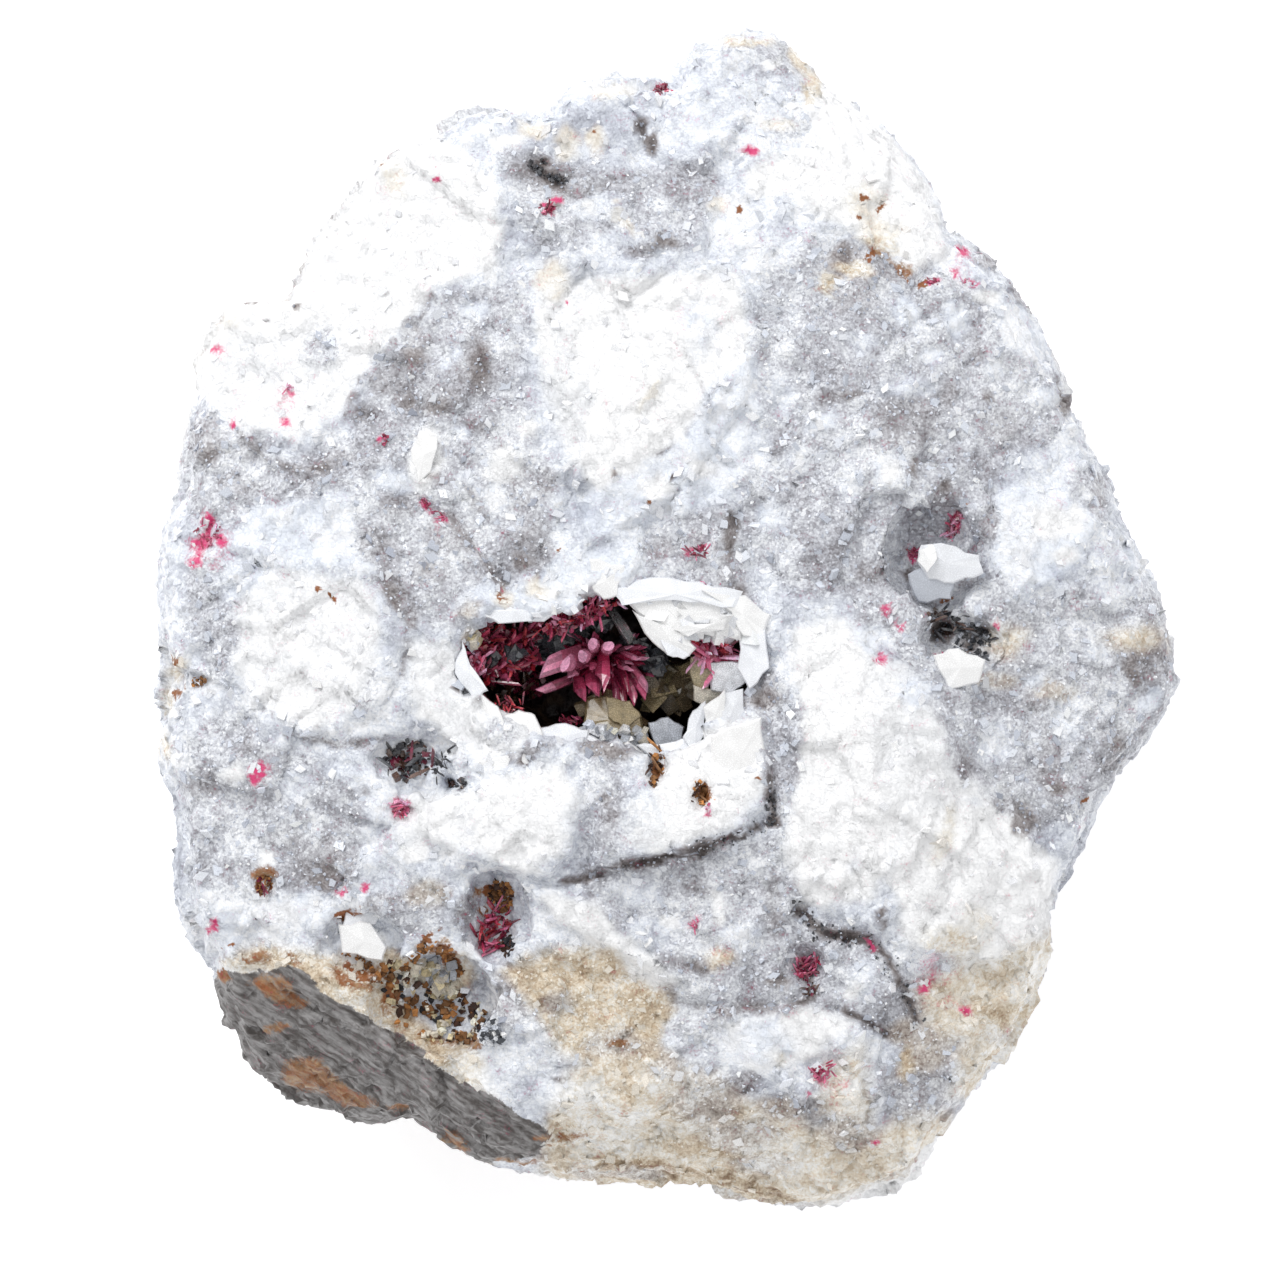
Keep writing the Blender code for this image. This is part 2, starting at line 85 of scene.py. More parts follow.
class Grain:
    """Repeatable noise, worked out for many points at once."""

    CORNERS = np.array([(i, j, k) for i in (0, 1) for j in (0, 1) for k in (0, 1)])
    AROUND = np.array([(i, j, k) for i in (-1, 0, 1) for j in (-1, 0, 1) for k in (-1, 0, 1)])
    PRIMES = (73856093, 19349663, 83492791)
    STIR = np.uint64(0x9E3779B97F4A7C15)

    def __init__(self, seed: int) -> None:
        """Start a noise of its own for a seed."""
        self.seed = seed

    def chance(self, cells: np.ndarray, channel: int) -> np.ndarray:
        """A number from 0 to 1 for each cell.

        Args:
            cells: whole numbers, one row of three for each cell.
            channel: which of the cell's numbers to give.

        Returns:
            One number for each row.
        """
        mixed = np.full(len(cells), self.seed * 7919 + channel * 104729 + 12345, np.uint64)
        for axis, prime in enumerate(self.PRIMES):
            part = cells[:, axis].astype(np.int64).astype(np.uint64) * np.uint64(prime)
            mixed = (mixed ^ part) * self.STIR
            mixed = mixed ^ (mixed >> np.uint64(29))
        return (mixed >> np.uint64(11)).astype(np.float64) / float(1 << 53)

    def smooth(self, points: np.ndarray, size: float) -> np.ndarray:
        """Soft noise from about -1 to 1.

        Args:
            points: places in metres, one row for each.
            size: the width of a lump of the noise in metres.

        Returns:
            One number for each place.
        """
        scaled = points / size + 17.3
        cells = np.floor(scaled)
        inside = scaled - cells
        ease = inside * inside * inside * (inside * (inside * 6 - 15) + 10)
        total = np.zeros(len(points))
        for corner in self.CORNERS:
            away = inside - corner
            near = cells + corner
            slope = np.stack([self.chance(near, axis) * 2 - 1 for axis in range(3)], axis=1)
            weight = np.prod(np.where(corner, ease, 1 - ease), axis=1)
            total += weight * np.sum(slope * away, axis=1)
        return total * 1.6

    def layered(self, points: np.ndarray, size: float, layers: int) -> np.ndarray:
        """Soft noise with finer noise on it.

        Args:
            points: places in metres, one row for each.
            size: the width of the coarsest lumps in metres.
            layers: how many noises are added, each half as wide and half as strong.

        Returns:
            One number for each place.
        """
        return sum(self.smooth(points + i * 0.37, size / 2**i) / 2**i for i in range(layers))

    def nearest(self, points: np.ndarray, size: float) -> tuple[np.ndarray, np.ndarray]:
        """The cell that each place is in, where cells are crystals of uneven shape.

        Args:
            points: places in metres, one row for each.
            size: the usual width of a cell in metres.

        Returns:
            The cell of each place, as a row of whole numbers, and the place from its seed in cell widths.
        """
        scaled = points / size
        cells = np.floor(scaled)
        best = np.full(len(points), 9.0)
        home = cells.copy()
        offset = np.zeros_like(points)
        for step in self.AROUND:
            near = cells + step
            seed = near + np.stack([self.chance(near, axis) for axis in range(3)], axis=1)
            away = scaled - seed
            distance = np.sum(away * away, axis=1)
            nearer = distance < best
            best = np.where(nearer, distance, best)
            home = np.where(nearer[:, None], near, home)
            offset = np.where(nearer[:, None], away, offset)
        return home, offset

    def facets(self, points: np.ndarray, size: float) -> np.ndarray:
        """Heights of flat tilted facets, with steps where they meet.

        Args:
            points: places in metres, one row for each.
            size: the usual width of a facet in metres.

        Returns:
            One height in metres for each place.
        """
        home, offset = self.nearest(points, size)
        slope = np.stack([self.chance(home, 3 + axis) * 2 - 1 for axis in range(3)], axis=1)
        return np.sum(slope * offset, axis=1) * size

    def terraces(self, points: np.ndarray, size: float, tread: float, rise: float) -> np.ndarray:
        """Heights of cleavage steps, which run straight within each crystal.

        Args:
            points: places in metres, one row for each.
            size: the usual width of a crystal in metres.
            tread: the usual width of a step in metres.
            rise: the usual height of a step in metres.

        Returns:
            One height in metres for each place.
        """
        home, offset = self.nearest(points, size)
        across = np.stack([self.chance(home, 6 + axis) * 2 - 1 for axis in range(3)], axis=1)
        across /= np.linalg.norm(across, axis=1)[:, None] + 1e-9
        width = tread * (0.5 + self.chance(home, 9))
        run = np.sum(across * offset, axis=1) * size / width + 50
        return (0.5 - (run - np.floor(run))) * rise * (0.3 + 1.4 * self.chance(home, 10))


class Recipe:
    """A node material that is put together step by step."""

    def __init__(self, name: str) -> None:
        """Start a material with one Principled shader."""
        self.material = bpy.data.materials.new(name)
        self.material.use_nodes = True
        self.tree = self.material.node_tree
        self.shader = self.tree.nodes["Principled BSDF"]
        self.place = self.tree.nodes.new("ShaderNodeTexCoord").outputs["Object"]

    def put(self, target: Socket, value: object) -> None:
        """Link a socket to another one, or set its value.

        Args:
            target: the socket that is filled in.
            value: a socket, a number, or a colour, which gets an alpha of 1 where it needs one.
        """
        if isinstance(value, Socket):
            self.tree.links.new(value, target)
        elif isinstance(value, (tuple, list)) and len(value) == 3 and len(target.default_value) == 4:
            target.default_value = (*value, 1.0)
        else:
            target.default_value = value

    def shade(self, **values: object) -> None:
        """Set or link sockets of the shader, with _ for the spaces in their names."""
        for name, value in values.items():
            self.put(self.shader.inputs[name.replace("_", " ")], value)

    def math(self, operation: str, first: object, second: object = 0.0) -> Socket:
        """The result of a Math node.

        Args:
            operation: the node's operation.
            first, second: sockets or numbers.

        Returns:
            The result's socket.
        """
        node = self.tree.nodes.new("ShaderNodeMath")
        node.operation = operation
        self.put(node.inputs[0], first)
        self.put(node.inputs[1], second)
        return node.outputs[0]

    def total(self, *parts: tuple[object, float]) -> Socket:
        """The sum of values that are each multiplied by a weight.

        Args:
            parts: a socket and its weight, for each value.

        Returns:
            The sum's socket.
        """
        result = None
        for value, weight in parts:
            weighted = self.math("MULTIPLY", value, weight)
            result = weighted if result is None else self.math("ADD", result, weighted)
        return result

    def mix(self, factor: object, first: object, second: object, blend: str = "MIX") -> Socket:
        """The colour from a Mix node.

        Args:
            factor: how much of the second colour is in it.
            first, second: sockets or colours.
            blend: the node's way of mixing.

        Returns:
            The colour's socket.
        """
        node = self.tree.nodes.new("ShaderNodeMix")
        node.data_type = "RGBA"
        node.blend_type = blend
        self.put(node.inputs["Factor"], factor)
        colours = [socket for socket in node.inputs if socket.type == "RGBA"]
        self.put(colours[0], first)
        self.put(colours[1], second)
        return next(socket for socket in node.outputs if socket.type == "RGBA")

    def vector(self, operation: str, first: object, second: object) -> Socket:
        """The result of a Vector Math node.

        Args:
            operation: the node's operation.
            first, second: sockets or vectors.

        Returns:
            The vector's socket, or for DOT_PRODUCT the value's.
        """
        node = self.tree.nodes.new("ShaderNodeVectorMath")
        node.operation = operation
        self.put(node.inputs[0], first)
        self.put(node.inputs[1], second)
        return node.outputs["Value" if operation == "DOT_PRODUCT" else "Vector"]

    def warped(self, amount: float, size: float) -> Socket:
        """Coordinates pushed about by noise.

        Args:
            amount: how far they are pushed in millimetres.
            size: the width of the noise's lumps in millimetres.

        Returns:
            The coordinates' socket.
        """
        node = self.tree.nodes.new("ShaderNodeTexNoise")
        node.inputs["Scale"].default_value = 1.0 / (size * MM)
        self.put(node.inputs["Vector"], self.place)
        shift = self.vector("MULTIPLY", node.outputs["Color"], (2 * amount * MM,) * 3)
        return self.vector("ADD", self.place, shift)

    def noise(self, size: float, detail: float = 2.0, stretch: Colour = (1, 1, 1), turn: float = 0.0,
              where: Socket | None = None) -> Socket:
        """Noise from 0 to 1.

        Args:
            size: the width of its lumps in millimetres.
            detail: how much finer noise lies on it.
            stretch: how much longer the lumps are along each axis.
            turn: degrees that the stretched axes are turned about Z.
            where: coordinates, if not the object's own.

        Returns:
            The noise's socket.
        """
        node = self.tree.nodes.new("ShaderNodeTexNoise")
        node.inputs["Scale"].default_value = 1.0 / (size * MM)
        node.inputs["Detail"].default_value = detail
        source = where or self.place
        if turn or tuple(stretch) != (1, 1, 1):
            mapping = self.tree.nodes.new("ShaderNodeMapping")
            mapping.vector_type = "TEXTURE"
            mapping.inputs["Rotation"].default_value = (0.0, 0.0, math.radians(turn))
            mapping.inputs["Scale"].default_value = stretch
            self.put(mapping.inputs["Vector"], source)
            source = mapping.outputs["Vector"]
        self.put(node.inputs["Vector"], source)
        return node.outputs[0]

    def cells(self, size: float, where: Socket | None = None) -> tuple[Socket, Socket]:
        """A random number for each small cell, and the height of a tilted facet in it.

        Args:
            size: the width of a cell in millimetres.
            where: coordinates, if not the object's own.

        Returns:
            The sockets of the number from 0 to 1 and of the height in millimetres.
        """
        node = self.tree.nodes.new("ShaderNodeTexVoronoi")
        node.inputs["Scale"].default_value = 1.0 / (size * MM)
        source = where or self.place
        self.put(node.inputs["Vector"], source)
        pick = self.tree.nodes.new("ShaderNodeSeparateColor")
        self.put(pick.inputs[0], node.outputs["Color"])
        away = self.vector("SUBTRACT", source, node.outputs["Position"])
        slope = self.vector("SUBTRACT", node.outputs["Color"], (0.5, 0.5, 0.5))
        height = self.vector("DOT_PRODUCT", away, slope)
        return pick.outputs[0], self.math("MULTIPLY", height, 1.0 / MM)

    def ease(self, value: object, low: float, high: float, start: float = 0.0, end: float = 1.0) -> Socket:
        """A value that goes softly from one number to another.

        Args:
            value: the value that drives it.
            low, high: where the driving value starts and ends.
            start, end: the numbers there.

        Returns:
            The eased value's socket.
        """
        node = self.tree.nodes.new("ShaderNodeMapRange")
        node.interpolation_type = "SMOOTHSTEP"
        self.put(node.inputs["Value"], value)
        node.inputs["From Min"].default_value = low
        node.inputs["From Max"].default_value = high
        node.inputs["To Min"].default_value = start
        node.inputs["To Max"].default_value = end
        return node.outputs["Result"]

    def scale_of(self, value: Socket, top: float, colours: Sequence[tuple[float, Colour]]) -> Socket:
        """A colour picked from a row of colours by a value.

        Args:
            value: the value that picks.
            top: the value at the row's end.
            colours: values and their colours, in order.

        Returns:
            The colour's socket.
        """
        node = self.tree.nodes.new("ShaderNodeValToRGB")
        self.put(node.inputs["Fac"], self.math("DIVIDE", value, top))
        stops = node.color_ramp.elements
        while len(stops) < len(colours):
            stops.new(0.5)
        for stop, (position, colour) in zip(stops, colours):
            stop.position = position / top
            stop.color = (*colour, 1.0)
        return node.outputs["Color"]

    def mask(self, name: str) -> Socket:
        """A number that the mesh carries."""
        return self.attribute(name).outputs["Fac"]

    def attribute(self, name: str) -> bpy.types.Node:
        """The node that reads what the mesh carries.

        Args:
            name: the name that the mesh carries it under.

        Returns:
            The node, with its sockets for a number, a vector and a colour.
        """
        node = self.tree.nodes.new("ShaderNodeAttribute")
        node.attribute_name = name
        return node

    def bump(self, height: Socket, strength: float) -> None:
        """Give the shader fine relief.

        Args:
            height: the relief's height in millimetres.
            strength: how plainly it shows, from 0 to 1.
        """
        node = self.tree.nodes.new("ShaderNodeBump")
        node.inputs["Strength"].default_value = strength
        node.inputs["Distance"].default_value = MM
        self.put(node.inputs["Height"], height)
        self.put(self.shader.inputs["Normal"], node.outputs["Normal"])


class Tone(Enum):
    """A kind of rock, or a painted shade on it, as three numbers.

    The first is how grey it is, from 0, white, to about 2, black. The second is how warm it is,
    from -1, bluish, to 1, tan. The third is how grainy it is, from 0 to 1.
    """

    SNOW = (0.0, 0.0, 0.15)
    # This tone is white spar painted a little grey: painted shade.
    SHADED_WHITE = (0.14, -0.2, 0.3)
    FROST = (0.27, -0.8, 0.25)
    PALE = (0.45, -0.6, 0.6)
    ASH = (0.75, -0.4, 1.0)
    SMOKE = (1.0, -0.3, 1.0)
    LEAD = (1.4, -0.1, 0.8)
    INK = (2.0, 0.0, 0.5)
    CREAM = (0.25, 0.7, 0.4)
    SAND = (0.48, 0.9, 0.6)
    TAN = (0.75, 1.0, 0.8)
    STONE = (0.75, 0.3, 0.9)
    # The last tone is the dark brown of a painted shadow along the rock's bottom edge.
    RIM_SHADOW = (1.3, 1.0, 0.9)


class Stain(Enum):
    """A colour that lies over the rock, by the name of the mask that the mesh carries for it."""

    SLATE = "stain_slate"
    RUST = "stain_rust"
    OCHRE = "stain_ochre"
    PINK = "stain_pink"
    # The cavity lining is dark under the main cavity's rim: partly the hollow's own dark colour, partly
    # painted shade.
    CAVE_LINING_AND_SHADE = "stain_cave_lining_and_shade"


def eased(share: np.ndarray) -> np.ndarray:
    """Shares from 0 to 1 with their ends rounded off."""
    share = np.clip(share, 0, 1)
    return share * share * (3 - 2 * share)


def box_of(pixels: Sequence[Pixel], edge: float) -> tuple[float, float, float, float]:
    """The box round some pixels.

    Args:
        pixels: the pixels.
        edge: how far the box lies outside them, in pixels.

    Returns:
        Its left, top, right and bottom.
    """
    xs, ys = zip(*pixels)
    return min(xs) - edge, min(ys) - edge, max(xs) + edge, max(ys) + edge


@dataclass(frozen=True)
class Outline:
    """A patch with drawn corners.

    Attributes:
        corners: its corners in pixels.
        soft: the width of its edge in millimetres.
    """

    corners: tuple[Pixel, ...]
    soft: float = 1.2

    def cover(self, flat: np.ndarray) -> np.ndarray:
        """How much of the patch is at each place.

        Args:
            flat: x and y in metres, one row for each place.

        Returns:
            Numbers from 0 to 1.
        """
        corners = np.array([VIEW.place(*corner) for corner in self.corners])
        inside = np.zeros(len(flat), bool)
        nearest = np.full(len(flat), 1.0)
        for start, end in zip(corners, np.roll(corners, -1, axis=0)):
            run = end - start
            share = np.clip((flat - start) @ run / max(run @ run, 1e-12), 0, 1)
            away = flat - start - share[:, None] * run
            nearest = np.minimum(nearest, np.hypot(away[:, 0], away[:, 1]))
            spans = (start[1] > flat[:, 1]) != (end[1] > flat[:, 1])
            rise = run[1] if abs(run[1]) > 1e-12 else 1e-12
            crossing = start[0] + (flat[:, 1] - start[1]) / rise * run[0]
            inside ^= spans & (flat[:, 0] < crossing)
        signed = np.where(inside, nearest, -nearest)
        return eased(0.5 + signed / (self.soft * MM))

    def box(self) -> tuple[float, float, float, float]:
        """Its lowest and highest x and y in pixels, as left, top, right, bottom."""
        return box_of(self.corners, 0.0)


@dataclass(frozen=True)
class Oval:
    """A round or long spot.

    Attributes:
        px, py: its middle in pixels.
        half_x, half_y: its half-sizes in pixels.
        turn: degrees that it is turned, anticlockwise on the face.
        soft: the share of its size that its edge takes.
    """

    px: float
    py: float
    half_x: float
    half_y: float
    turn: float = 0.0
    soft: float = 0.7

    def cover(self, flat: np.ndarray) -> np.ndarray:
        """How much of the spot is at each place.

        Args:
            flat: x and y in metres, one row for each place.

        Returns:
            Numbers from 0 to 1.
        """
        x, y = VIEW.place(self.px, self.py)
        angle = math.radians(self.turn)
        dx, dy = flat[:, 0] - x, flat[:, 1] - y
        along = (dx * math.cos(angle) + dy * math.sin(angle)) / (self.half_x * VIEW.pixel)
        across = (dy * math.cos(angle) - dx * math.sin(angle)) / (self.half_y * VIEW.pixel)
        return eased(0.5 + (1 - np.hypot(along, across)) / self.soft)

    def box(self) -> tuple[float, float, float, float]:
        """Its lowest and highest x and y in pixels, were it not turned."""
        return self.px - self.half_x, self.py - self.half_y, self.px + self.half_x, self.py + self.half_y


@dataclass(frozen=True)
class Seam:
    """A thin line, such as a crack or a vein.

    Attributes:
        points: the pixels that it runs through.
        width: its width in pixels.
    """

    points: tuple[Pixel, ...]
    width: float = 5.0

    def cover(self, flat: np.ndarray) -> np.ndarray:
        """How much of the line is at each place.

        Args:
            flat: x and y in metres, one row for each place.

        Returns:
            Numbers from 0 to 1.
        """
        nearest = np.full(len(flat), 1.0)
        places = np.array([VIEW.place(*point) for point in self.points])
        for start, end in zip(places, places[1:]):
            run = end - start
            share = np.clip((flat - start) @ run / max(run @ run, 1e-12), 0, 1)
            away = flat - start - share[:, None] * run
            nearest = np.minimum(nearest, np.hypot(away[:, 0], away[:, 1]))
        return eased(1.25 - nearest / (self.width * VIEW.pixel * 0.8))

    def box(self) -> tuple[float, float, float, float]:
        """Its lowest and highest x and y in pixels, as left, top, right, bottom."""
        return box_of(self.points, self.width / 2)


Shape = Outline | Oval | Seam


@dataclass(frozen=True)
class Mark:
    """A shape in one tone or stain.

    Attributes:
        kind: the tone or stain.
        shape: where it is.
        strength: how plainly it shows, 1 being full.
    """

    kind: Tone | Stain
    shape: Shape
    strength: float = 1.0


@dataclass(frozen=True)
class Rise:
    """A plate that stands out of the face, or with a height below 0 a hollow in it.

    Attributes:
        shape: where it is.
        height: how far its middle stands out, in millimetres.
        east, north: how much it rises to the right and to the top, in millimetres per millimetre.
    """

    shape: Shape
    height: float
    east: float = 0.0
    north: float = 0.0


def ovals(kind: Tone | Stain, *rows: tuple[float, ...], strength: float = 1.0) -> tuple[Mark, ...]:
    """Ovals of one kind, each as its middle, half-sizes and, if it is turned, degrees."""
    return tuple(Mark(kind, Oval(*row), strength) for row in rows)


def areas(kind: Tone | Stain, *outlines: tuple[Pixel, ...], soft: float = 1.2) -> tuple[Mark, ...]:
    """Patches of one kind with drawn corners."""
    return tuple(Mark(kind, Outline(corners, soft)) for corners in outlines)


def seams(kind: Tone | Stain, *lines: tuple[float, tuple[Pixel, ...]],
          strength: float = 1.0) -> tuple[Mark, ...]:
    """Lines of one kind, each as its width and points."""
    return tuple(Mark(kind, Seam(points, width), strength) for width, points in lines)


# The broad kinds of rock on the face, from the greyest to the whitest, with painted shade on parts of the
# white spar
BROAD_MARKS = (
    *areas(Tone.PALE, ((150, 380), (420, 60), (820, 20), (1060, 330), (1190, 640), (1060, 930), (900, 1100),
        (560, 1130), (200, 1000), (140, 700)), soft=4.0),
    *areas(Tone.ASH, ((365, 400), (405, 350), (450, 290), (525, 280), (530, 330), (520, 390), (545, 470),
        (560, 560), (520, 590), (470, 590), (420, 620), (385, 590), (355, 560), (350, 480)), ((195, 405),
        (235, 430), (280, 462), (350, 440), (400, 430), (410, 480), (330, 500), (250, 520), (190, 520), (180,
        470)), ((755, 310), (800, 245), (900, 250), (985, 300), (1010, 350), (1060, 380), (1060, 440), (1000,
        480), (980, 560), (1050, 590), (1170, 590), (1180, 690), (1110, 790), (1020, 840), (960, 780), (900,
        660), (850, 600), (790, 590), (740, 560), (745, 440)), ((650, 520), (735, 505), (750, 600), (785,
        690), (800, 760), (770, 850), (755, 700), (720, 610), (640, 600)), ((500, 150), (620, 175), (700,
        160), (720, 200), (680, 255), (540, 250), (510, 200)), ((185, 740), (260, 740), (330, 760), (370,
        800), (360, 900), (250, 900), (195, 880)), ((580, 860), (690, 850), (780, 830), (800, 900), (905,
        960), (930, 1040), (860, 1020), (700, 1010), (600, 930)), ((585, 740), (625, 740), (625, 850), (580,
        850))),
    *areas(Tone.SNOW, ((180, 320), (215, 290), (300, 280), (345, 140), (436, 120), (450, 150), (490, 180),
        (505, 230), (500, 268), (440, 285), (405, 330), (365, 368), (340, 420), (300, 430), (240, 425), (195,
        390)), ((595, 285), (640, 275), (730, 280), (748, 330), (735, 380), (690, 430), (640, 470), (600,
        500), (580, 460), (590, 400), (560, 350)), ((790, 630), (840, 620), (870, 665), (900, 720), (905,
        800), (890, 870), (870, 900), (800, 900), (785, 850), (800, 740)), ((800, 60), (850, 105), (905,
        150), (940, 220), (945, 255), (905, 275), (850, 235), (790, 200), (750, 200), (745, 170), (820,
        150)), ((480, 780), (560, 765), (580, 800), (560, 850), (520, 870), (470, 840)), ((690, 735), (755,
        715), (760, 790), (735, 822), (650, 850), (640, 800)), ((905, 810), (985, 800), (1050, 860), (1050,
        930), (985, 950), (900, 940), (890, 880)), ((725, 1020), (800, 1005), (850, 1020), (800, 1060), (745,
        1070)), ((540, 890), (600, 905), (680, 985), (655, 990), (600, 950), (550, 915))),
    # White spar painted a little grey, as painted shade.
    *areas(Tone.SHADED_WHITE, ((540, 290), (600, 280), (575, 350), (590, 400), (575, 480), (545, 400), (535, 340)),
        ((200, 350), (300, 330), (345, 350), (350, 400), (300, 440), (240, 430), (205, 390)), ((240, 590),
        (300, 570), (370, 590), (400, 640), (380, 690), (330, 725), (265, 705), (235, 650)), ((860, 660),
        (905, 665), (950, 740), (985, 790), (905, 815), (870, 780)), ((410, 640), (465, 650), (480, 695),
        (540, 730), (500, 765), (440, 740), (415, 700)), ((395, 800), (480, 790), (470, 850), (400, 840))),
    # The first frost patch, on the lower right of the white spar at the top middle, is painted shade.
    *areas(Tone.FROST, ((700, 400), (750, 350), (760, 420), (735, 490), (650, 520), (590, 540), (585, 500),
        (660, 470)), ((490, 610), (555, 560), (640, 545), (650, 600), (610, 590), (560, 615)), ((1000, 500),
        (1050, 490), (1095, 520), (1070, 570), (1020, 600), (990, 560)), ((250, 510), (350, 500), (360, 560),
        (300, 565), (230, 600))),
)

# Grey patches, in the order of how dark they are
GREY_MARKS = (
    *ovals(Tone.ASH, (675, 200, 26, 18), (705, 185, 12, 22), (545, 240, 14, 18), (590, 233, 20, 10), (790,
        130, 25, 9), (760, 60, 40, 22), (240, 455, 40, 25), (395, 560, 35, 30), (450, 520, 35, 25), (225,
        640, 16, 45), (205, 600, 20, 40), (235, 730, 28, 22), (375, 690, 12, 30, -30), (235, 840, 22, 30),
        (420, 910, 30, 22), (690, 535, 35, 22), (785, 740, 16, 40), (1100, 630, 55, 50), (1060, 800, 35, 22),
        (700, 880, 50, 22), (730, 960, 40, 18), (700, 1020, 22, 35), (760, 900, 16, 30), (840, 965, 22, 20),
        (960, 740, 16, 30), (880, 620, 28, 14), (580, 1010, 22, 24), (450, 620, 20, 12), (1085, 490, 22, 20),
        (300, 860, 40, 30), (790, 285, 20, 20), (325, 350, 16, 20, 0, 1.2), (500, 730, 20, 12), (720, 100,
        14, 12)),
    *ovals(Tone.SMOKE, (395, 380, 22, 18), (420, 355, 14, 24, -30), (415, 330, 8, 12), (480, 365, 20, 28),
        (430, 405, 32, 12), (365, 418, 16, 10, 20), (480, 432, 22, 7), (210, 440, 18, 26), (255, 450, 14,
        14), (328, 470, 32, 9, 20), (245, 485, 22, 8), (400, 508, 18, 13), (452, 538, 26, 24, -30), (380,
        545, 22, 16), (395, 588, 9, 24, 30), (428, 570, 24, 10), (415, 618, 7, 12), (525, 503, 18, 8), (535,
        545, 20, 26), (522, 475, 12, 16), (547, 485, 10, 20), (550, 185, 36, 18, -15), (590, 195, 30, 6, 10),
        (640, 250, 22, 8), (855, 280, 42, 24), (835, 398, 24, 8, 15), (905, 425, 34, 26), (975, 360, 8, 12),
        (1000, 430, 18, 18), (945, 395, 10, 14), (850, 305, 22, 9), (940, 500, 16, 18), (985, 530, 12, 20),
        (925, 595, 14, 14), (965, 585, 16, 9), (870, 575, 16, 12), (1150, 655, 16, 26), (1030, 700, 14, 18),
        (1045, 758, 12, 34), (1110, 735, 16, 16), (1108, 765, 18, 9), (1000, 798, 12, 14), (730, 640, 9, 24),
        (765, 690, 16, 20), (755, 655, 9, 20, 20), (770, 775, 7, 20), (725, 575, 9, 28), (660, 545, 18, 12),
        (645, 588, 16, 9), (205, 783, 24, 13), (340, 742, 34, 7, -18), (365, 790, 7, 7), (250, 745, 10, 10),
        (330, 862, 30, 30), (290, 838, 16, 10), (385, 902, 22, 7, 20), (470, 905, 12, 24, -20), (612, 822,
        13, 14), (603, 797, 10, 8), (690, 963, 26, 9, -10), (512, 1000, 16, 34), (740, 1080, 18, 12), (915,
        1085, 34, 34), (770, 905, 10, 34), (735, 1003, 60, 5), (985, 265, 16, 7, -30), (1020, 300, 8, 22,
        30), (1095, 500, 9, 22), (890, 440, 14, 10), (530, 750, 30, 7, 10), (945, 1045, 12, 16), (800, 1105,
        40, 12), (960, 765, 7, 16), (700, 885, 14, 10)),
    *ovals(Tone.LEAD, (838, 265, 15, 20, -20), (483, 368, 10, 18), (415, 362, 9, 9), (436, 410, 12, 7), (410,
        400, 6, 6), (665, 247, 15, 6), (732, 530, 7, 18), (735, 600, 8, 14), (395, 596, 6, 12, 30), (425,
        568, 10, 6), (526, 565, 10, 8), (325, 470, 8, 5), (1060, 400, 8, 16, 15), (1130, 672, 8, 16, 30),
        (1018, 817, 13, 20), (1060, 784, 12, 6), (1112, 742, 8, 8), (765, 698, 10, 10), (745, 701, 7, 6),
        (770, 795, 6, 6), (330, 875, 14, 12), (520, 757, 8, 5), (610, 748, 28, 8), (705, 966, 12, 6), (778,
        975, 12, 5), (670, 997, 9, 9), (850, 397, 8, 4), (985, 402, 6, 6), (212, 455, 9, 12), (726, 555, 6,
        8), (600, 800, 6, 6), (620, 826, 6, 7), (905, 470, 5, 9), (942, 487, 6, 8), (760, 180, 4, 4)),
)

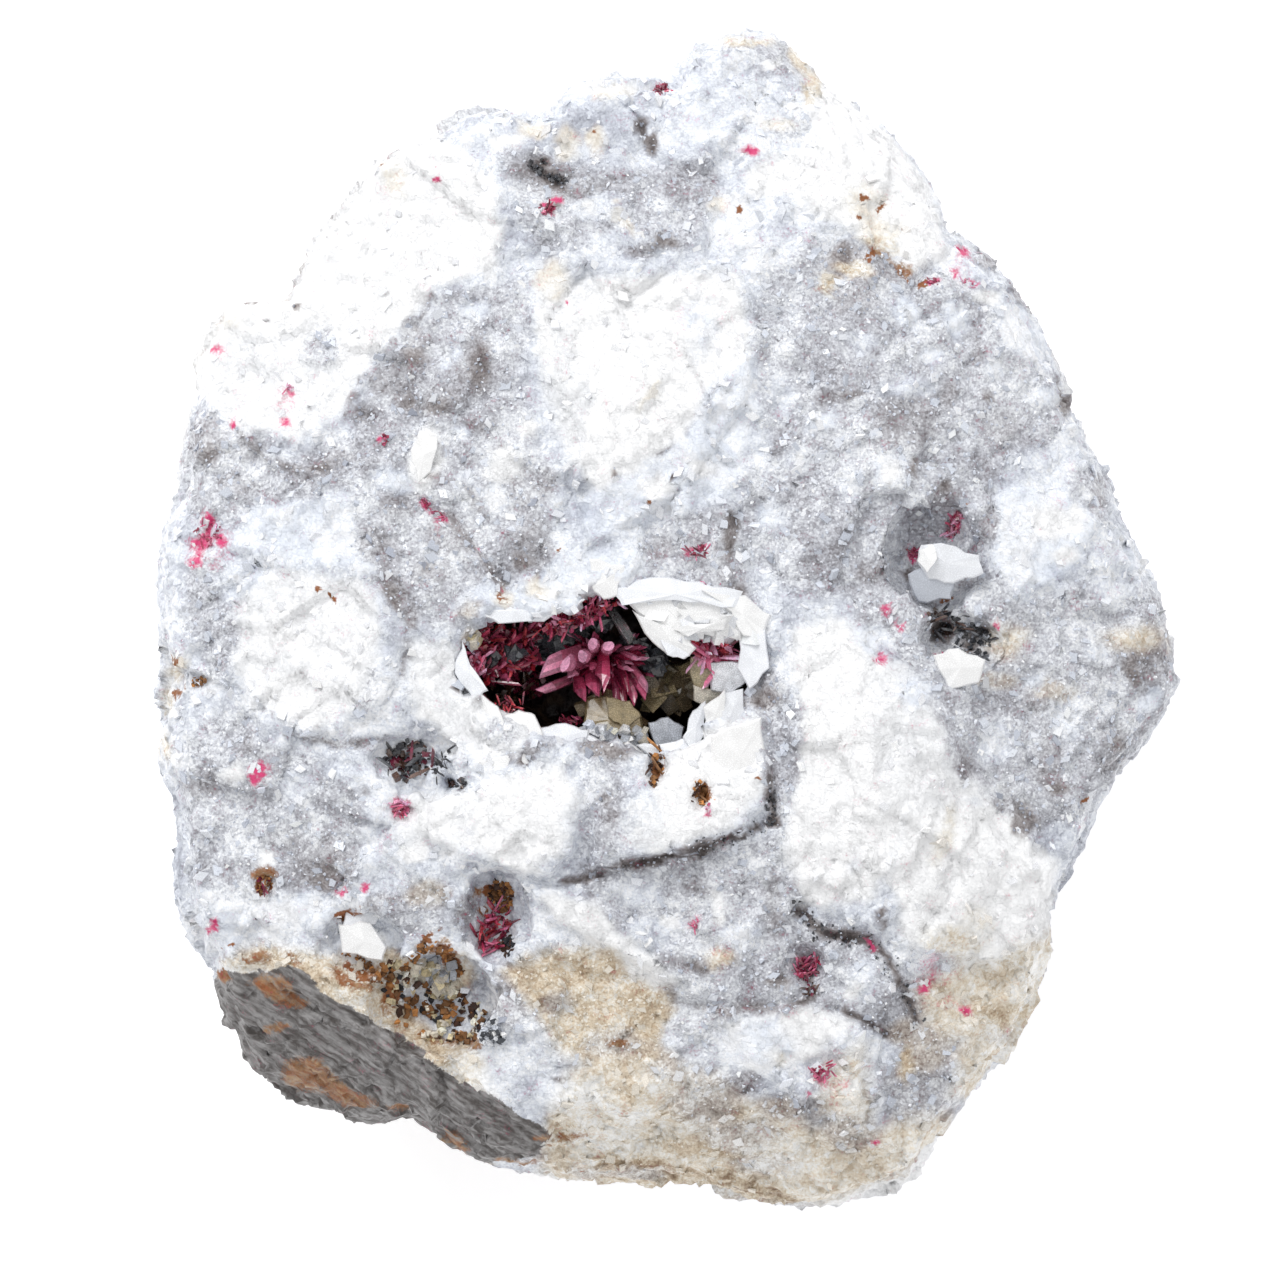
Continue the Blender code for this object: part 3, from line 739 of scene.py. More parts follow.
# Pale patches among the grey, in the order of how white they are
PALE_MARKS = (
    *ovals(Tone.PALE, (720, 100, 40, 50, 0, 1.3), (600, 210, 26, 12), (620, 240, 30, 8), (800, 235, 30, 14),
        (465, 480, 10, 10), (905, 390, 30, 9), (860, 345, 14, 9), (780, 400, 12, 26), (770, 520, 14, 16),
        (800, 462, 9, 9), (850, 490, 10, 12), (1030, 470, 28, 20), (1060, 720, 14, 22), (990, 742, 18, 20),
        (1070, 835, 18, 20), (350, 770, 26, 12), (300, 782, 20, 12), (240, 560, 26, 14), (180, 600, 12, 30),
        (390, 650, 10, 34), (650, 930, 26, 18), (735, 930, 22, 14), (640, 890, 26, 12), (530, 1062, 28, 36),
        (860, 975, 14, 20), (640, 800, 14, 24), (760, 450, 12, 30), (475, 605, 18, 8), (1110, 590, 18, 14),
        (660, 130, 10, 20)),
    *ovals(Tone.FROST, (475, 316, 15, 9), (452, 362, 5, 18, -40), (462, 438, 10, 7), (905, 318, 14, 16),
        (950, 325, 9, 20), (990, 372, 9, 9), (1042, 396, 13, 10), (1025, 335, 18, 30, 30), (885, 475, 12,
        16), (400, 480, 22, 10), (430, 770, 10, 8), (765, 520, 9, 9), (1092, 655, 9, 6), (1032, 680, 12, 7),
        (700, 660, 8, 5), (300, 900, 34, 12), (235, 920, 12, 14), (1150, 700, 16, 8, 40), (1130, 560, 9, 16,
        20), (670, 920, 16, 9), (700, 130, 16, 20), (870, 640, 16, 12), (910, 690, 14, 14), (760, 1040, 36,
        22), (852, 850, 8, 22), (490, 595, 16, 9), (590, 1035, 9, 12), (950, 570, 14, 9), (1010, 560, 14,
        22), (700, 330, 14, 30, 0, 1.5), (365, 570, 10, 8), (500, 500, 9, 14), (210, 690, 12, 8), (820, 425,
        14, 9), (930, 360, 9, 9)),
    # The snow spots at (290, 690) and (290, 640) are painted highlights on the white lump at the left.
    *ovals(Tone.SNOW, (428, 460, 15, 26), (508, 466, 15, 17), (527, 430, 9, 9), (888, 478, 8, 9), (985, 300,
        15, 8), (1070, 520, 10, 14), (1060, 555, 14, 8), (1045, 525, 16, 16), (505, 145, 14, 6), (592, 207,
        6, 6), (780, 185, 28, 16), (290, 690, 26, 14), (290, 640, 22, 14), (320, 712, 16, 12), (240, 775, 10,
        9), (770, 66, 10, 6), (715, 905, 7, 18), (670, 920, 10, 6), (850, 988, 7, 7), (275, 857, 8, 7), (645,
        640, 8, 5), (700, 470, 14, 8), (735, 455, 6, 9), (655, 490, 14, 9), (800, 462, 4, 4), (365, 938, 20,
        13), (440, 820, 20, 16), (545, 340, 8, 26), (945, 555, 8, 7), (432, 715, 10, 8), (850, 820, 24, 40,
        0, 1.2), (970, 880, 40, 12), (620, 940, 14, 9), (960, 670, 16, 9), (415, 850, 14, 8)),
)

# Warm rock, mostly along the bottom, and a painted shadow along the bottom edge
WARM_MARKS = (
    *areas(Tone.SAND, ((540, 1130), (560, 1090), (575, 1060), (600, 1050), (660, 1040), (700, 1080), (760,
        1100), (830, 1130), (900, 1120), (950, 1110), (970, 1210), (780, 1240), (540, 1200)), ((915, 985),
        (950, 955), (1060, 930), (1070, 1000), (990, 1110), (950, 1090), (960, 1040), (925, 1030)), ((820,
        1060), (860, 1045), (870, 1090), (860, 1120), (825, 1110)), soft=2.4),
    *areas(Tone.TAN, ((225, 965), (250, 945), (300, 945), (345, 955), (385, 975), (480, 1075), (500, 1110),
        (430, 1060), (340, 1005), (280, 975)), ((500, 965), (560, 945), (610, 950), (670, 1000), (660, 1050),
        (600, 1060), (560, 1050), (540, 1010)), ((600, 1155), (700, 1160), (760, 1180), (800, 1200), (800,
        1230), (600, 1200)), soft=1.6),
    *ovals(Tone.CREAM, (610, 95, 20, 7), (530, 137, 14, 7), (565, 145, 12, 18), (597, 145, 10, 16), (622,
        222, 5, 15, 35), (553, 284, 18, 19), (865, 205, 22, 20), (880, 235, 22, 20), (225, 318, 20, 12),
        (940, 835, 9, 34, -15), (545, 590, 16, 8), (505, 600, 10, 6), (720, 212, 12, 6), (935, 930, 22, 10),
        (975, 925, 16, 20), (775, 125, 20, 6), (780, 1055, 8, 8), (395, 180, 12, 26, 20), (650, 396, 4, 18,
        -25)),
    *ovals(Tone.SAND, (810, 90, 10, 20), (800, 55, 10, 22), (745, 42, 26, 6), (720, 955, 12, 10), (640, 1100,
        40, 40), (1130, 640, 30, 14, 0, 1.4), (400, 965, 30, 14, -30), (460, 970, 14, 18), (180, 670, 8, 12),
        (168, 745, 7, 14), (170, 700, 6, 14), (470, 1060, 16, 22, 30), (585, 1100, 26, 20), (880, 250, 20, 7,
        -30), (945, 940, 30, 12), (350, 965, 34, 9, -10), (1000, 640, 20, 14, 0, 1.4), (250, 960, 24, 8)),
    *ovals(Tone.STONE, (700, 1095, 34, 30), (740, 1130, 40, 16), (850, 1130, 30, 16), (615, 1040, 34, 14),
        (925, 1050, 20, 20), (560, 1000, 16, 12), (760, 1160, 34, 12), (665, 1065, 18, 12), (430, 890, 20,
        12), (590, 1170, 20, 8), (780, 1110, 20, 10), (1000, 1035, 20, 8), (470, 610, 9, 9), (640, 1170, 30,
        8), (900, 1030, 16, 12), (475, 640, 10, 12), (1050, 690, 22, 10), (990, 680, 20, 9)),
    *ovals(Tone.TAN, (650, 1010, 20, 16), (905, 1060, 8, 20), (1005, 1010, 26, 9), (700, 1145, 40, 7, -10),
        (850, 275, 20, 6), (825, 292, 8, 9), (505, 590, 4, 6), (640, 1085, 9, 7), (560, 1120, 16, 9)),
    # Dark brown lines along the bottom edge: painted shadow of the rock's lower edge.
    *seams(Tone.RIM_SHADOW, (6, ((600, 1160), (660, 1160), (720, 1178), (765, 1190), (800, 1204))), (5, ((470,
        1158), (500, 1172)))),
)

# Thin dark lines and dark spots
DARK_MARKS = (
    # The first ink line runs under the lower edge of the plates below the main cavity: a crack, darkened
    # partly as painted shadow of that ledge.
    *seams(Tone.INK, (5, ((563, 881), (593, 876), (621, 863), (654, 859), (685, 848), (716, 840), (736, 833),
        (762, 822))), (9, ((640, 861), (660, 859))), (10, ((694, 849), (712, 843))), (5, ((770, 822), (772,
        797), (767, 774))), (8, ((797, 906), (806, 914), (818, 930), (845, 934), (866, 936))), (6, ((874,
        944), (886, 958), (898, 975), (905, 1000), (915, 1020))), (5, ((836, 1005), (860, 1016), (884,
        1033))), (5, ((786, 1001), (806, 998), (815, 985), (812, 970))), (5, ((878, 905), (880, 925))),
        strength=0.9),
    *seams(Tone.LEAD, (4, ((700, 1004), (790, 1002))), (3, ((430, 470), (470, 490), (490, 520))), (5, ((455,
        520), (476, 548), (490, 575), (507, 590))), (3, ((440, 290), (420, 330), (370, 370), (345, 420))),
        (3, ((723, 388), (685, 429), (672, 447), (657, 460))), (4, ((232, 425), (262, 452), (300, 470))), (3,
        ((255, 700), (300, 735), (340, 745), (385, 742))), (3, ((400, 600), (412, 650), (395, 700))),
        strength=0.7),
    *ovals(Tone.INK, (539, 168, 10, 7), (556, 184, 16, 5, -25), (638, 133, 6, 9, 30), (651, 148, 9, 7, -30),
        (560, 210, 5, 4), (770, 820, 8, 7), (616, 479, 3, 4), (666, 478, 2, 3), (300, 311, 2, 3), (320, 345,
        3, 5, -30), (843, 933, 14, 5), (938, 626, 12, 11), (972, 636, 10, 7), (966, 650, 7, 7), (524, 756, 5,
        4), (489, 698, 3, 2), (462, 685, 3, 2), (477, 699, 2, 2), (908, 570, 4, 8), (905, 1000, 8, 6), (600,
        590, 4, 3), (702, 850, 6, 5), (560, 1075, 3, 3), (735, 523, 3, 6), (728, 545, 3, 5), (745, 690, 3,
        3), (757, 700, 6, 3)),
)

# Stains and the dark streaked facet
STAIN_MARKS = (
    *areas(Stain.SLATE, ((190, 985), (232, 968), (262, 965), (300, 962), (345, 1002), (400, 1032), (440,
        1062), (480, 1085), (520, 1110), (552, 1132), (530, 1155), (480, 1165), (440, 1200), (300, 1190),
        (180, 1080)), soft=0.7),
    *ovals(Stain.OCHRE, (312, 1072, 30, 20, -20), (350, 1095, 30, 8, -15), (275, 985, 26, 14, -25), (225,
        975, 12, 7), (300, 1000, 14, 8), (262, 955, 18, 6), (295, 955, 9, 9), (390, 1000, 8, 16), (355, 975,
        26, 8, -25), (375, 965, 16, 8, -25), (455, 1140, 20, 5, -35), (520, 1160, 24, 4), (398, 1105, 14, 6),
        (280, 1025, 14, 6), (440, 945, 14, 5, 40), (270, 870, 12, 9), (480, 890, 12, 4), (880, 262, 18, 5,
        -30), (900, 275, 9, 9), (620, 1040, 16, 6), (430, 1035, 30, 6, -20), (470, 1040, 20, 6), (560, 1135,
        30, 5), strength=0.85),
    *ovals(Stain.RUST, (870, 176, 3, 3), (865, 199, 4, 4), (878, 210, 4, 4), (859, 219, 4, 3), (897, 237, 3,
        6), (378, 163, 4, 8), (905, 284, 5, 5), (925, 288, 6, 4), (741, 218, 5, 4), (595, 138, 3, 3), (268,
        882, 9, 8), (754, 773, 3, 3), (1085, 797, 4, 3), (647, 504, 3, 2), (560, 547, 2, 2), (320, 586, 2,
        2), (333, 596, 2, 2), (658, 768, 7, 16, -20), (700, 790, 8, 10, -20), (205, 682, 6, 5), (180, 690, 6,
        4), (176, 664, 5, 5), (163, 745, 4, 6), (963, 505, 3, 3), (503, 597, 4, 6), (430, 940, 20, 4, 40),
        (365, 968, 22, 4, -38), (352, 915, 14, 5, 15), (448, 955, 14, 9, -40), (500, 892, 12, 9), (395, 990,
        9, 16), (940, 598, 6, 3), (592, 1168, 9, 5), (870, 262, 6, 4), (1005, 260, 3, 3), (237, 940, 5, 4),
        (488, 912, 9, 5)),
    *ovals(Stain.PINK, (697, 553, 9, 6, 25), (707, 592, 8, 5), (387, 442, 5, 5), (293, 388, 4, 5), (286, 424,
        5, 4), (233, 425, 4, 5), (440, 186, 6, 4, 30), (433, 199, 3, 3), (662, 92, 7, 6), (548, 213, 8, 5),
        (568, 307, 3, 5), (750, 155, 12, 2.5, 10), (933, 285, 8, 3), (949, 277, 4, 4), (968, 288, 5, 5),
        (961, 251, 6, 3, -30), (215, 353, 14, 4, 5), (213, 525, 5, 12, -10), (205, 545, 14, 8, 20), (198,
        562, 7, 12), (225, 540, 6, 8), (694, 921, 3, 7), (760, 731, 3, 4), (707, 808, 3, 8), (262, 776, 6,
        9), (348, 892, 5, 4), (215, 925, 4, 9), (288, 826, 3, 3), (820, 1070, 11, 8, 30), (875, 1138, 5, 5),
        (926, 983, 10, 4, 55), (962, 1008, 14, 3), (884, 612, 3, 9), (897, 630, 3, 9, 40), (938, 651, 8, 3),
        (990, 628, 3, 3), (1059, 632, 3, 2), (402, 806, 9, 8), (952, 527, 6, 14, -25), (910, 553, 5, 7),
        (805, 965, 10, 9), (432, 508, 8, 3, -35), (450, 524, 7, 3, -45), (482, 556, 6, 3, -50), (740, 560, 2,
        2), (560, 205, 6, 3, 20), (868, 944, 4, 3), (372, 890, 3, 3), (810, 1088, 4, 3), (505, 590, 3, 3),
        (875, 660, 7, 4), (490, 700, 9, 2, -15)),
    *ovals(Stain.PINK, (213, 540, 26, 30), (265, 775, 14, 14), (216, 356, 24, 10), (385, 840, 9, 14), (840,
        1085, 14, 20), (930, 970, 16, 22, -30), (952, 1000, 20, 9), (960, 265, 14, 16), (720, 945, 10, 10),
        (288, 405, 12, 28), (470, 660, 6, 24), (405, 880, 9, 6), (400, 805, 14, 12), strength=0.28),
)

# Plates that stand out of the face, and hollows in it
RISES = (
    Rise(Outline(((425, 765), (500, 735), (562, 760), (585, 800), (575, 850), (548, 874), (500, 870), (436,
        838)), 0.35), 0.9, 0.0, -0.10),
    Rise(Outline(((600, 805), (655, 772), (700, 742), (765, 712), (772, 790), (742, 828), (690, 848), (625,
        864), (590, 868)), 0.35), 1.0, 0.0, -0.10),
    Rise(Outline(((560, 300), (620, 262), (735, 262), (760, 330), (745, 400), (700, 470), (640, 520), (590,
        545), (572, 480), (588, 440), (545, 380)), 0.5), 0.6, 0.02, -0.02),
    Rise(Outline(((790, 620), (860, 650), (905, 680), (950, 745), (1000, 845), (1050, 865), (1045, 930),
        (985, 962), (900, 943), (865, 925), (800, 895), (785, 850), (795, 760), (775, 690)), 0.5), 0.7, 0.02,
        0.0),
    Rise(Oval(312, 645, 92, 90, 0, 0.12), 0.5, 0.0, -0.03),
    Rise(Outline(((520, 880), (560, 886), (640, 926), (705, 986), (690, 1003), (630, 956), (560, 923)), 0.4),
        0.8),
    Rise(Outline(((722, 1012), (800, 1000), (862, 1022), (858, 1100), (800, 1095), (745, 1062)), 0.5), 0.6),
    Rise(Outline(((185, 320), (300, 280), (345, 150), (436, 130), (505, 190), (500, 268), (440, 290), (365,
        395), (330, 455), (235, 430)), 0.6), 0.6, -0.02, 0.02),
    Rise(Outline(((800, 110), (850, 105), (930, 205), (945, 255), (905, 280), (850, 240), (800, 200)), 0.5),
        0.6),
    Rise(Outline(((540, 545), (640, 530), (655, 560), (600, 592), (560, 596)), 0.4), 0.5),
    Rise(Outline(((480, 605), (560, 590), (585, 600), (560, 618), (500, 622)), 0.3), 0.5),
    Rise(Outline(((995, 495), (1060, 485), (1090, 530), (1062, 575), (1015, 600), (985, 560)), 0.4), 0.5),
    Rise(Oval(367, 940, 24, 16, 0, 0.2), 0.5),
    Rise(Oval(428, 460, 17, 28, 0, 0.2), 0.35),
    Rise(Oval(508, 467, 16, 17, 0, 0.2), 0.3),
    Rise(Oval(656, 769, 8, 20, -15, 0.5), -1.2),
    Rise(Oval(700, 795, 8, 14, -15, 0.5), -1.0),
    Rise(Outline(((926, 614), (948, 612), (952, 632), (926, 638)), 0.4), -1.6),
    Rise(Outline(((444, 773), (471, 781), (446, 792)), 0.3), -1.2),
    Rise(Oval(268, 882, 11, 10, 0, 0.6), -0.8),
    Rise(Oval(552, 178, 24, 14, -20, 0.8), -0.5),
    Rise(Oval(648, 141, 14, 12, 0, 0.8), -0.5),
    Rise(Oval(838, 268, 26, 24, 0, 1.0), -0.5),
    Rise(Seam(((423, 500), (446, 518), (469, 539), (482, 557), (495, 572), (507, 590)), 7), -0.55),
    Rise(Seam(((563, 881), (621, 865), (685, 850), (736, 835), (770, 822), (772, 790), (766, 720), (752,
        660)), 7), -0.5),
    Rise(Seam(((797, 904), (818, 930), (866, 936), (886, 958), (905, 1000), (915, 1020)), 9), -0.6),
    Rise(Seam(((836, 1005), (860, 1016), (884, 1033)), 7), -0.5),
    Rise(Seam(((670, 1000), (735, 1003), (790, 1000), (812, 985)), 6), -0.4),
    Rise(Seam(((345, 1010), (400, 1045), (460, 1085), (545, 1135)), 9), -0.4),
    Rise(Seam(((250, 700), (300, 738), (350, 748), (400, 735)), 9), -0.4),
)


FACE_MARKS = (*BROAD_MARKS, *GREY_MARKS, *PALE_MARKS, *WARM_MARKS, *DARK_MARKS)
DARKEST = 2.2

# The box of the main cavity in pixels, and how softly its dark lining and painted shade start, in metres
CAVE_LEFT_FOOT: Pixel = (440, 775)
CAVE_RIGHT_TOP: Pixel = (775, 560)
CAVE_BAND = 1.8 * MM


@dataclass(frozen=True)
class RockFinish:
    """The rock's colours, from its white spar to its stains.

    Attributes:
        cool, warm: rows of colours by how grey the rock is, for bluish and for tan rock.
        slate_dark, slate_light: the streaked dark facet.
        rust, ochre, pink: stains and specks.
        cave_dark_and_shade, cave_brown: the lining of the main cavity, partly its own dark colour and partly
            painted shade of the hollow.
        uneven_middle, grains_middle: the usual sum of the coarse and of the fine unevenness, which
            is taken off so that they lighten the rock as much as they darken it.
        streak_turn: degrees that the dark facet's streaks are turned.
    """

    cool: tuple[tuple[float, Colour], ...] = (
        (0.0, (0.93, 0.94, 0.97)), (0.25, (0.77, 0.81, 0.88)), (0.5, (0.58, 0.62, 0.71)),
        (0.8, (0.40, 0.43, 0.51)), (1.15, (0.24, 0.255, 0.30)), (1.65, (0.09, 0.095, 0.11)),
        (DARKEST, (0.02, 0.02, 0.022)),
    )
    warm: tuple[tuple[float, Colour], ...] = (
        (0.0, (0.94, 0.935, 0.92)), (0.25, (0.84, 0.79, 0.70)), (0.5, (0.70, 0.60, 0.46)),
        (0.8, (0.50, 0.39, 0.27)), (1.15, (0.30, 0.20, 0.12)), (1.65, (0.12, 0.07, 0.04)),
        (DARKEST, (0.03, 0.015, 0.01)),
    )
    slate_dark: Colour = (0.075, 0.065, 0.06)
    slate_light: Colour = (0.34, 0.33, 0.33)
    rust: Colour = (0.28, 0.10, 0.03)
    ochre: Colour = (0.40, 0.25, 0.13)
    pink: Colour = (0.72, 0.06, 0.20)
    cave_dark_and_shade: Colour = (0.018, 0.008, 0.009)
    cave_brown: Colour = (0.10, 0.06, 0.035)
    uneven_middle: float = 1.52
    grains_middle: float = 0.86
    streak_turn: float = -34.0

    def material(self) -> bpy.types.Material:
        """The node material of the rock.

        Returns:
            The material, which reads the masks that the lump's mesh carries.
        """
        rock = Recipe("matrix_rock")
        warped = rock.warped(0.30, 0.9)
        fine = rock.noise(0.22, 3.0)
        middle = rock.noise(1.6, 4.0)
        broad = rock.noise(5.5, 6.0)
        speck, speck_height = rock.cells(0.26, warped)
        clump, clump_height = rock.cells(0.75, warped)
        plate, plate_height = rock.cells(2.1, rock.warped(0.7, 2.5))
        grey, warm, grain = (rock.mask(name) for name in ("grey", "warm", "grain"))
        uneven = rock.total((plate, 0.22), (clump, 0.22), (middle, 0.9), (broad, 1.5))
        grains = rock.total((speck, 0.46), (fine, 1.25))
        share = rock.ease(grey, 0.0, 0.5, 0.30, 1.0)
        uneven = rock.math("MULTIPLY", rock.math("SUBTRACT", uneven, self.uneven_middle), share)
        grainy = rock.math("MULTIPLY", share, grain)
        grains = rock.math("MULTIPLY", rock.math("SUBTRACT", grains, self.grains_middle), grainy)
        shown = rock.math("ADD", rock.math("ADD", grey, uneven), grains)
        hue = rock.math("ADD", rock.math("MULTIPLY", warm, 0.58), 0.42)
        bluish = rock.scale_of(shown, DARKEST, self.cool)
        colour = rock.mix(hue, bluish, rock.scale_of(shown, DARKEST, self.warm))
        ragged = rock.math("SUBTRACT", rock.total((middle, 0.7), (fine, 0.6)), 0.65)

        def where(stain: Stain, low: float, high: float, torn: float = 1.5) -> Socket:
            """Where a stain shows, with a ragged edge.

            Args:
                stain: the stain.
                low, high: how much of it there has to be for a trace and for full colour.
                torn: how ragged its edge is.

            Returns:
                The socket of a number from 0 to 1.
            """
            push = rock.math("MULTIPLY", ragged, torn)
            return rock.ease(rock.math("ADD", rock.mask(stain.value), push), low, high)

        streak = rock.noise(0.5, 4.0, (5.0, 1.0, 1.0), self.streak_turn)
        slate = rock.mix(rock.ease(streak, 0.32, 0.72), self.slate_dark, self.slate_light)
        colour = rock.mix(where(Stain.SLATE, 0.40, 0.62, 0.9), colour, slate)
        ochre = rock.mix(rock.ease(streak, 0.35, 0.7), self.rust, self.ochre)
        colour = rock.mix(where(Stain.OCHRE, 0.30, 0.95), colour, ochre)
        colour = rock.mix(where(Stain.RUST, 0.35, 0.75), colour, self.rust)
        colour = rock.mix(where(Stain.PINK, 0.15, 1.0, 1.8), colour, self.pink)
        # The main cavity's lining, near black below its rim: partly its own colour, partly painted shade.
        lining_and_shade = rock.mix(rock.ease(middle, 0.45, 0.7), self.cave_dark_and_shade, self.cave_brown)
        colour = rock.mix(where(Stain.CAVE_LINING_AND_SHADE, 0.40, 0.60, 0.45), colour, lining_and_shade)
        rock.shade(Base_Color=colour, Roughness=rock.ease(middle, 0.3, 0.7, 0.36, 0.60), IOR=1.5)
        relief = rock.total((speck_height, 0.55), (clump_height, 0.55), (plate_height, 0.25), (fine, 0.05))
        rock.bump(relief, 0.75)
        return rock.material


@dataclass
class Paint:
    """The tones and stains laid over a set of points.

    Attributes:
        points: the points in metres, one row for each.
        grain: the noise that breaks the marks' edges.
        side_top, side_band: the height in metres under which the drawn tones give way to mottled
            rock, and how far down that takes.
        stain_foot, stain_band: the same for pink and rust.
        roof: how high the main cavity's dark lining and painted shade reach, in metres.
        lighter: how much of the marks' greyness is kept.
    """

    points: np.ndarray
    grain: Grain
    side_top: float = 27 * MM
    side_band: float = 9 * MM
    stain_foot: float = 30 * MM
    stain_band: float = 6 * MM
    roof: float = 43.9 * MM
    lighter: float = 0.86

    def warped(self) -> np.ndarray:
        """The points' x and y, pushed about so that drawn edges come out uneven.

        Returns:
            X and y in metres, one row for each point.
        """
        shifts = []
        for offset in (3.1, 7.7):
            broad = self.grain.smooth(self.points + offset, 4.0 * MM) * 0.55 * MM
            shifts.append(broad + self.grain.smooth(self.points + offset + 2.0, 1.3 * MM) * 0.40 * MM)
        return self.points[:, :2] + np.stack(shifts, axis=1)

    def tones(self) -> np.ndarray:
        """How grey, warm and grainy the rock is.

        Returns:
            One row of the three numbers for each point, as Tone gives them.
        """
        flat = self.warped()
        laid = np.tile(np.array(Tone.PALE.value), (len(flat), 1))
        for mark in FACE_MARKS:
            cover = np.clip(mark.shape.cover(flat) * mark.strength, 0, 1)[:, None]
            laid = laid * (1 - cover) + np.array(mark.kind.value) * cover
        deep = eased((self.side_top - self.points[:, 2]) / self.side_band)[:, None]
        mottle = self.grain.layered(self.points + 1.3, 13 * MM, 3)
        cast = self.grain.smooth(self.points + 4.4, 22 * MM)
        side = np.stack([0.55 - 0.75 * mottle, -0.25 + 0.9 * cast, np.full(len(flat), 0.8)], axis=1)
        laid = laid * (1 - deep) + side * deep
        laid[:, 0] = np.clip(laid[:, 0] * self.lighter, 0, DARKEST)
        return laid

    def stains(self) -> dict[Stain, np.ndarray]:
        """How much of each stain there is.

        Returns:
            For each stain, a number from 0 to 1 for each point.
        """
        flat = self.warped()
        found = {stain: np.zeros(len(flat)) for stain in Stain}
        for mark in STAIN_MARKS:
            found[mark.kind] = np.maximum(found[mark.kind], mark.shape.cover(flat) * mark.strength)
        upper = eased((self.points[:, 2] - self.stain_foot) / self.stain_band)
        found[Stain.PINK] *= upper
        found[Stain.RUST] *= upper
        # Under the rim of the main cavity its lining is painted dark, partly as painted shade of the hollow.
        low, high = np.array(VIEW.place(*CAVE_LEFT_FOOT)), np.array(VIEW.place(*CAVE_RIGHT_TOP))
        near = np.all((flat > low) & (flat < high), axis=1)
        under = eased((self.roof - self.points[:, 2]) / CAVE_BAND)
        found[Stain.CAVE_LINING_AND_SHADE] = np.where(near, under, 0.0)
        return found


def settle(made: bpy.types.Object) -> bpy.types.Object:
    """Apply an object's modifiers.

    Args:
        made: the object.

    Returns:
        The same object, with its new mesh.
    """
    graph = bpy.context.evaluated_depsgraph_get()
    mesh = bpy.data.meshes.new_from_object(made.evaluated_get(graph))
    made.modifiers.clear()
    made.data = mesh
    mesh.name = made.name
    return made


def rows_of(source: bpy.types.bpy_prop_collection, name: str) -> np.ndarray:
    """The vectors of a mesh's points.

    Args:
        source: the mesh's vertices or vertex_normals.
        name: the name of the vector there.

    Returns:
        One row of three for each point.
    """
    flat = np.empty(len(source) * 3, np.float32)
    source.foreach_get(name, flat)
    return flat.reshape(-1, 3).astype(np.float64)


def ride(made: bpy.types.Object, slot: str, *nodes: str) -> None:
    """Fix a piece to the lump.

    Args:
        made: the piece.
        slot: a material slot's name, not used.
        nodes: the solids that it stands for.
    """
    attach(made, "root")
    if nodes:
        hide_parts(*nodes)
    LOG.info("%s: %d faces", made.name, len(made.data.polygons))


@dataclass(frozen=True)
class Break:
    """Flat facets of one size, broken over the rock.

    Attributes:
        size: their usual width in metres.
        share: their height as a share of their width.
        shift: how far their pattern is moved, in metres, so that no two sizes line up.
    """

    size: float
    share: float
    shift: float

    def push(self, grain: Grain, points: np.ndarray) -> np.ndarray:
        """How far they push each point out, in metres."""
        return grain.facets(points + self.shift, self.size) * self.share


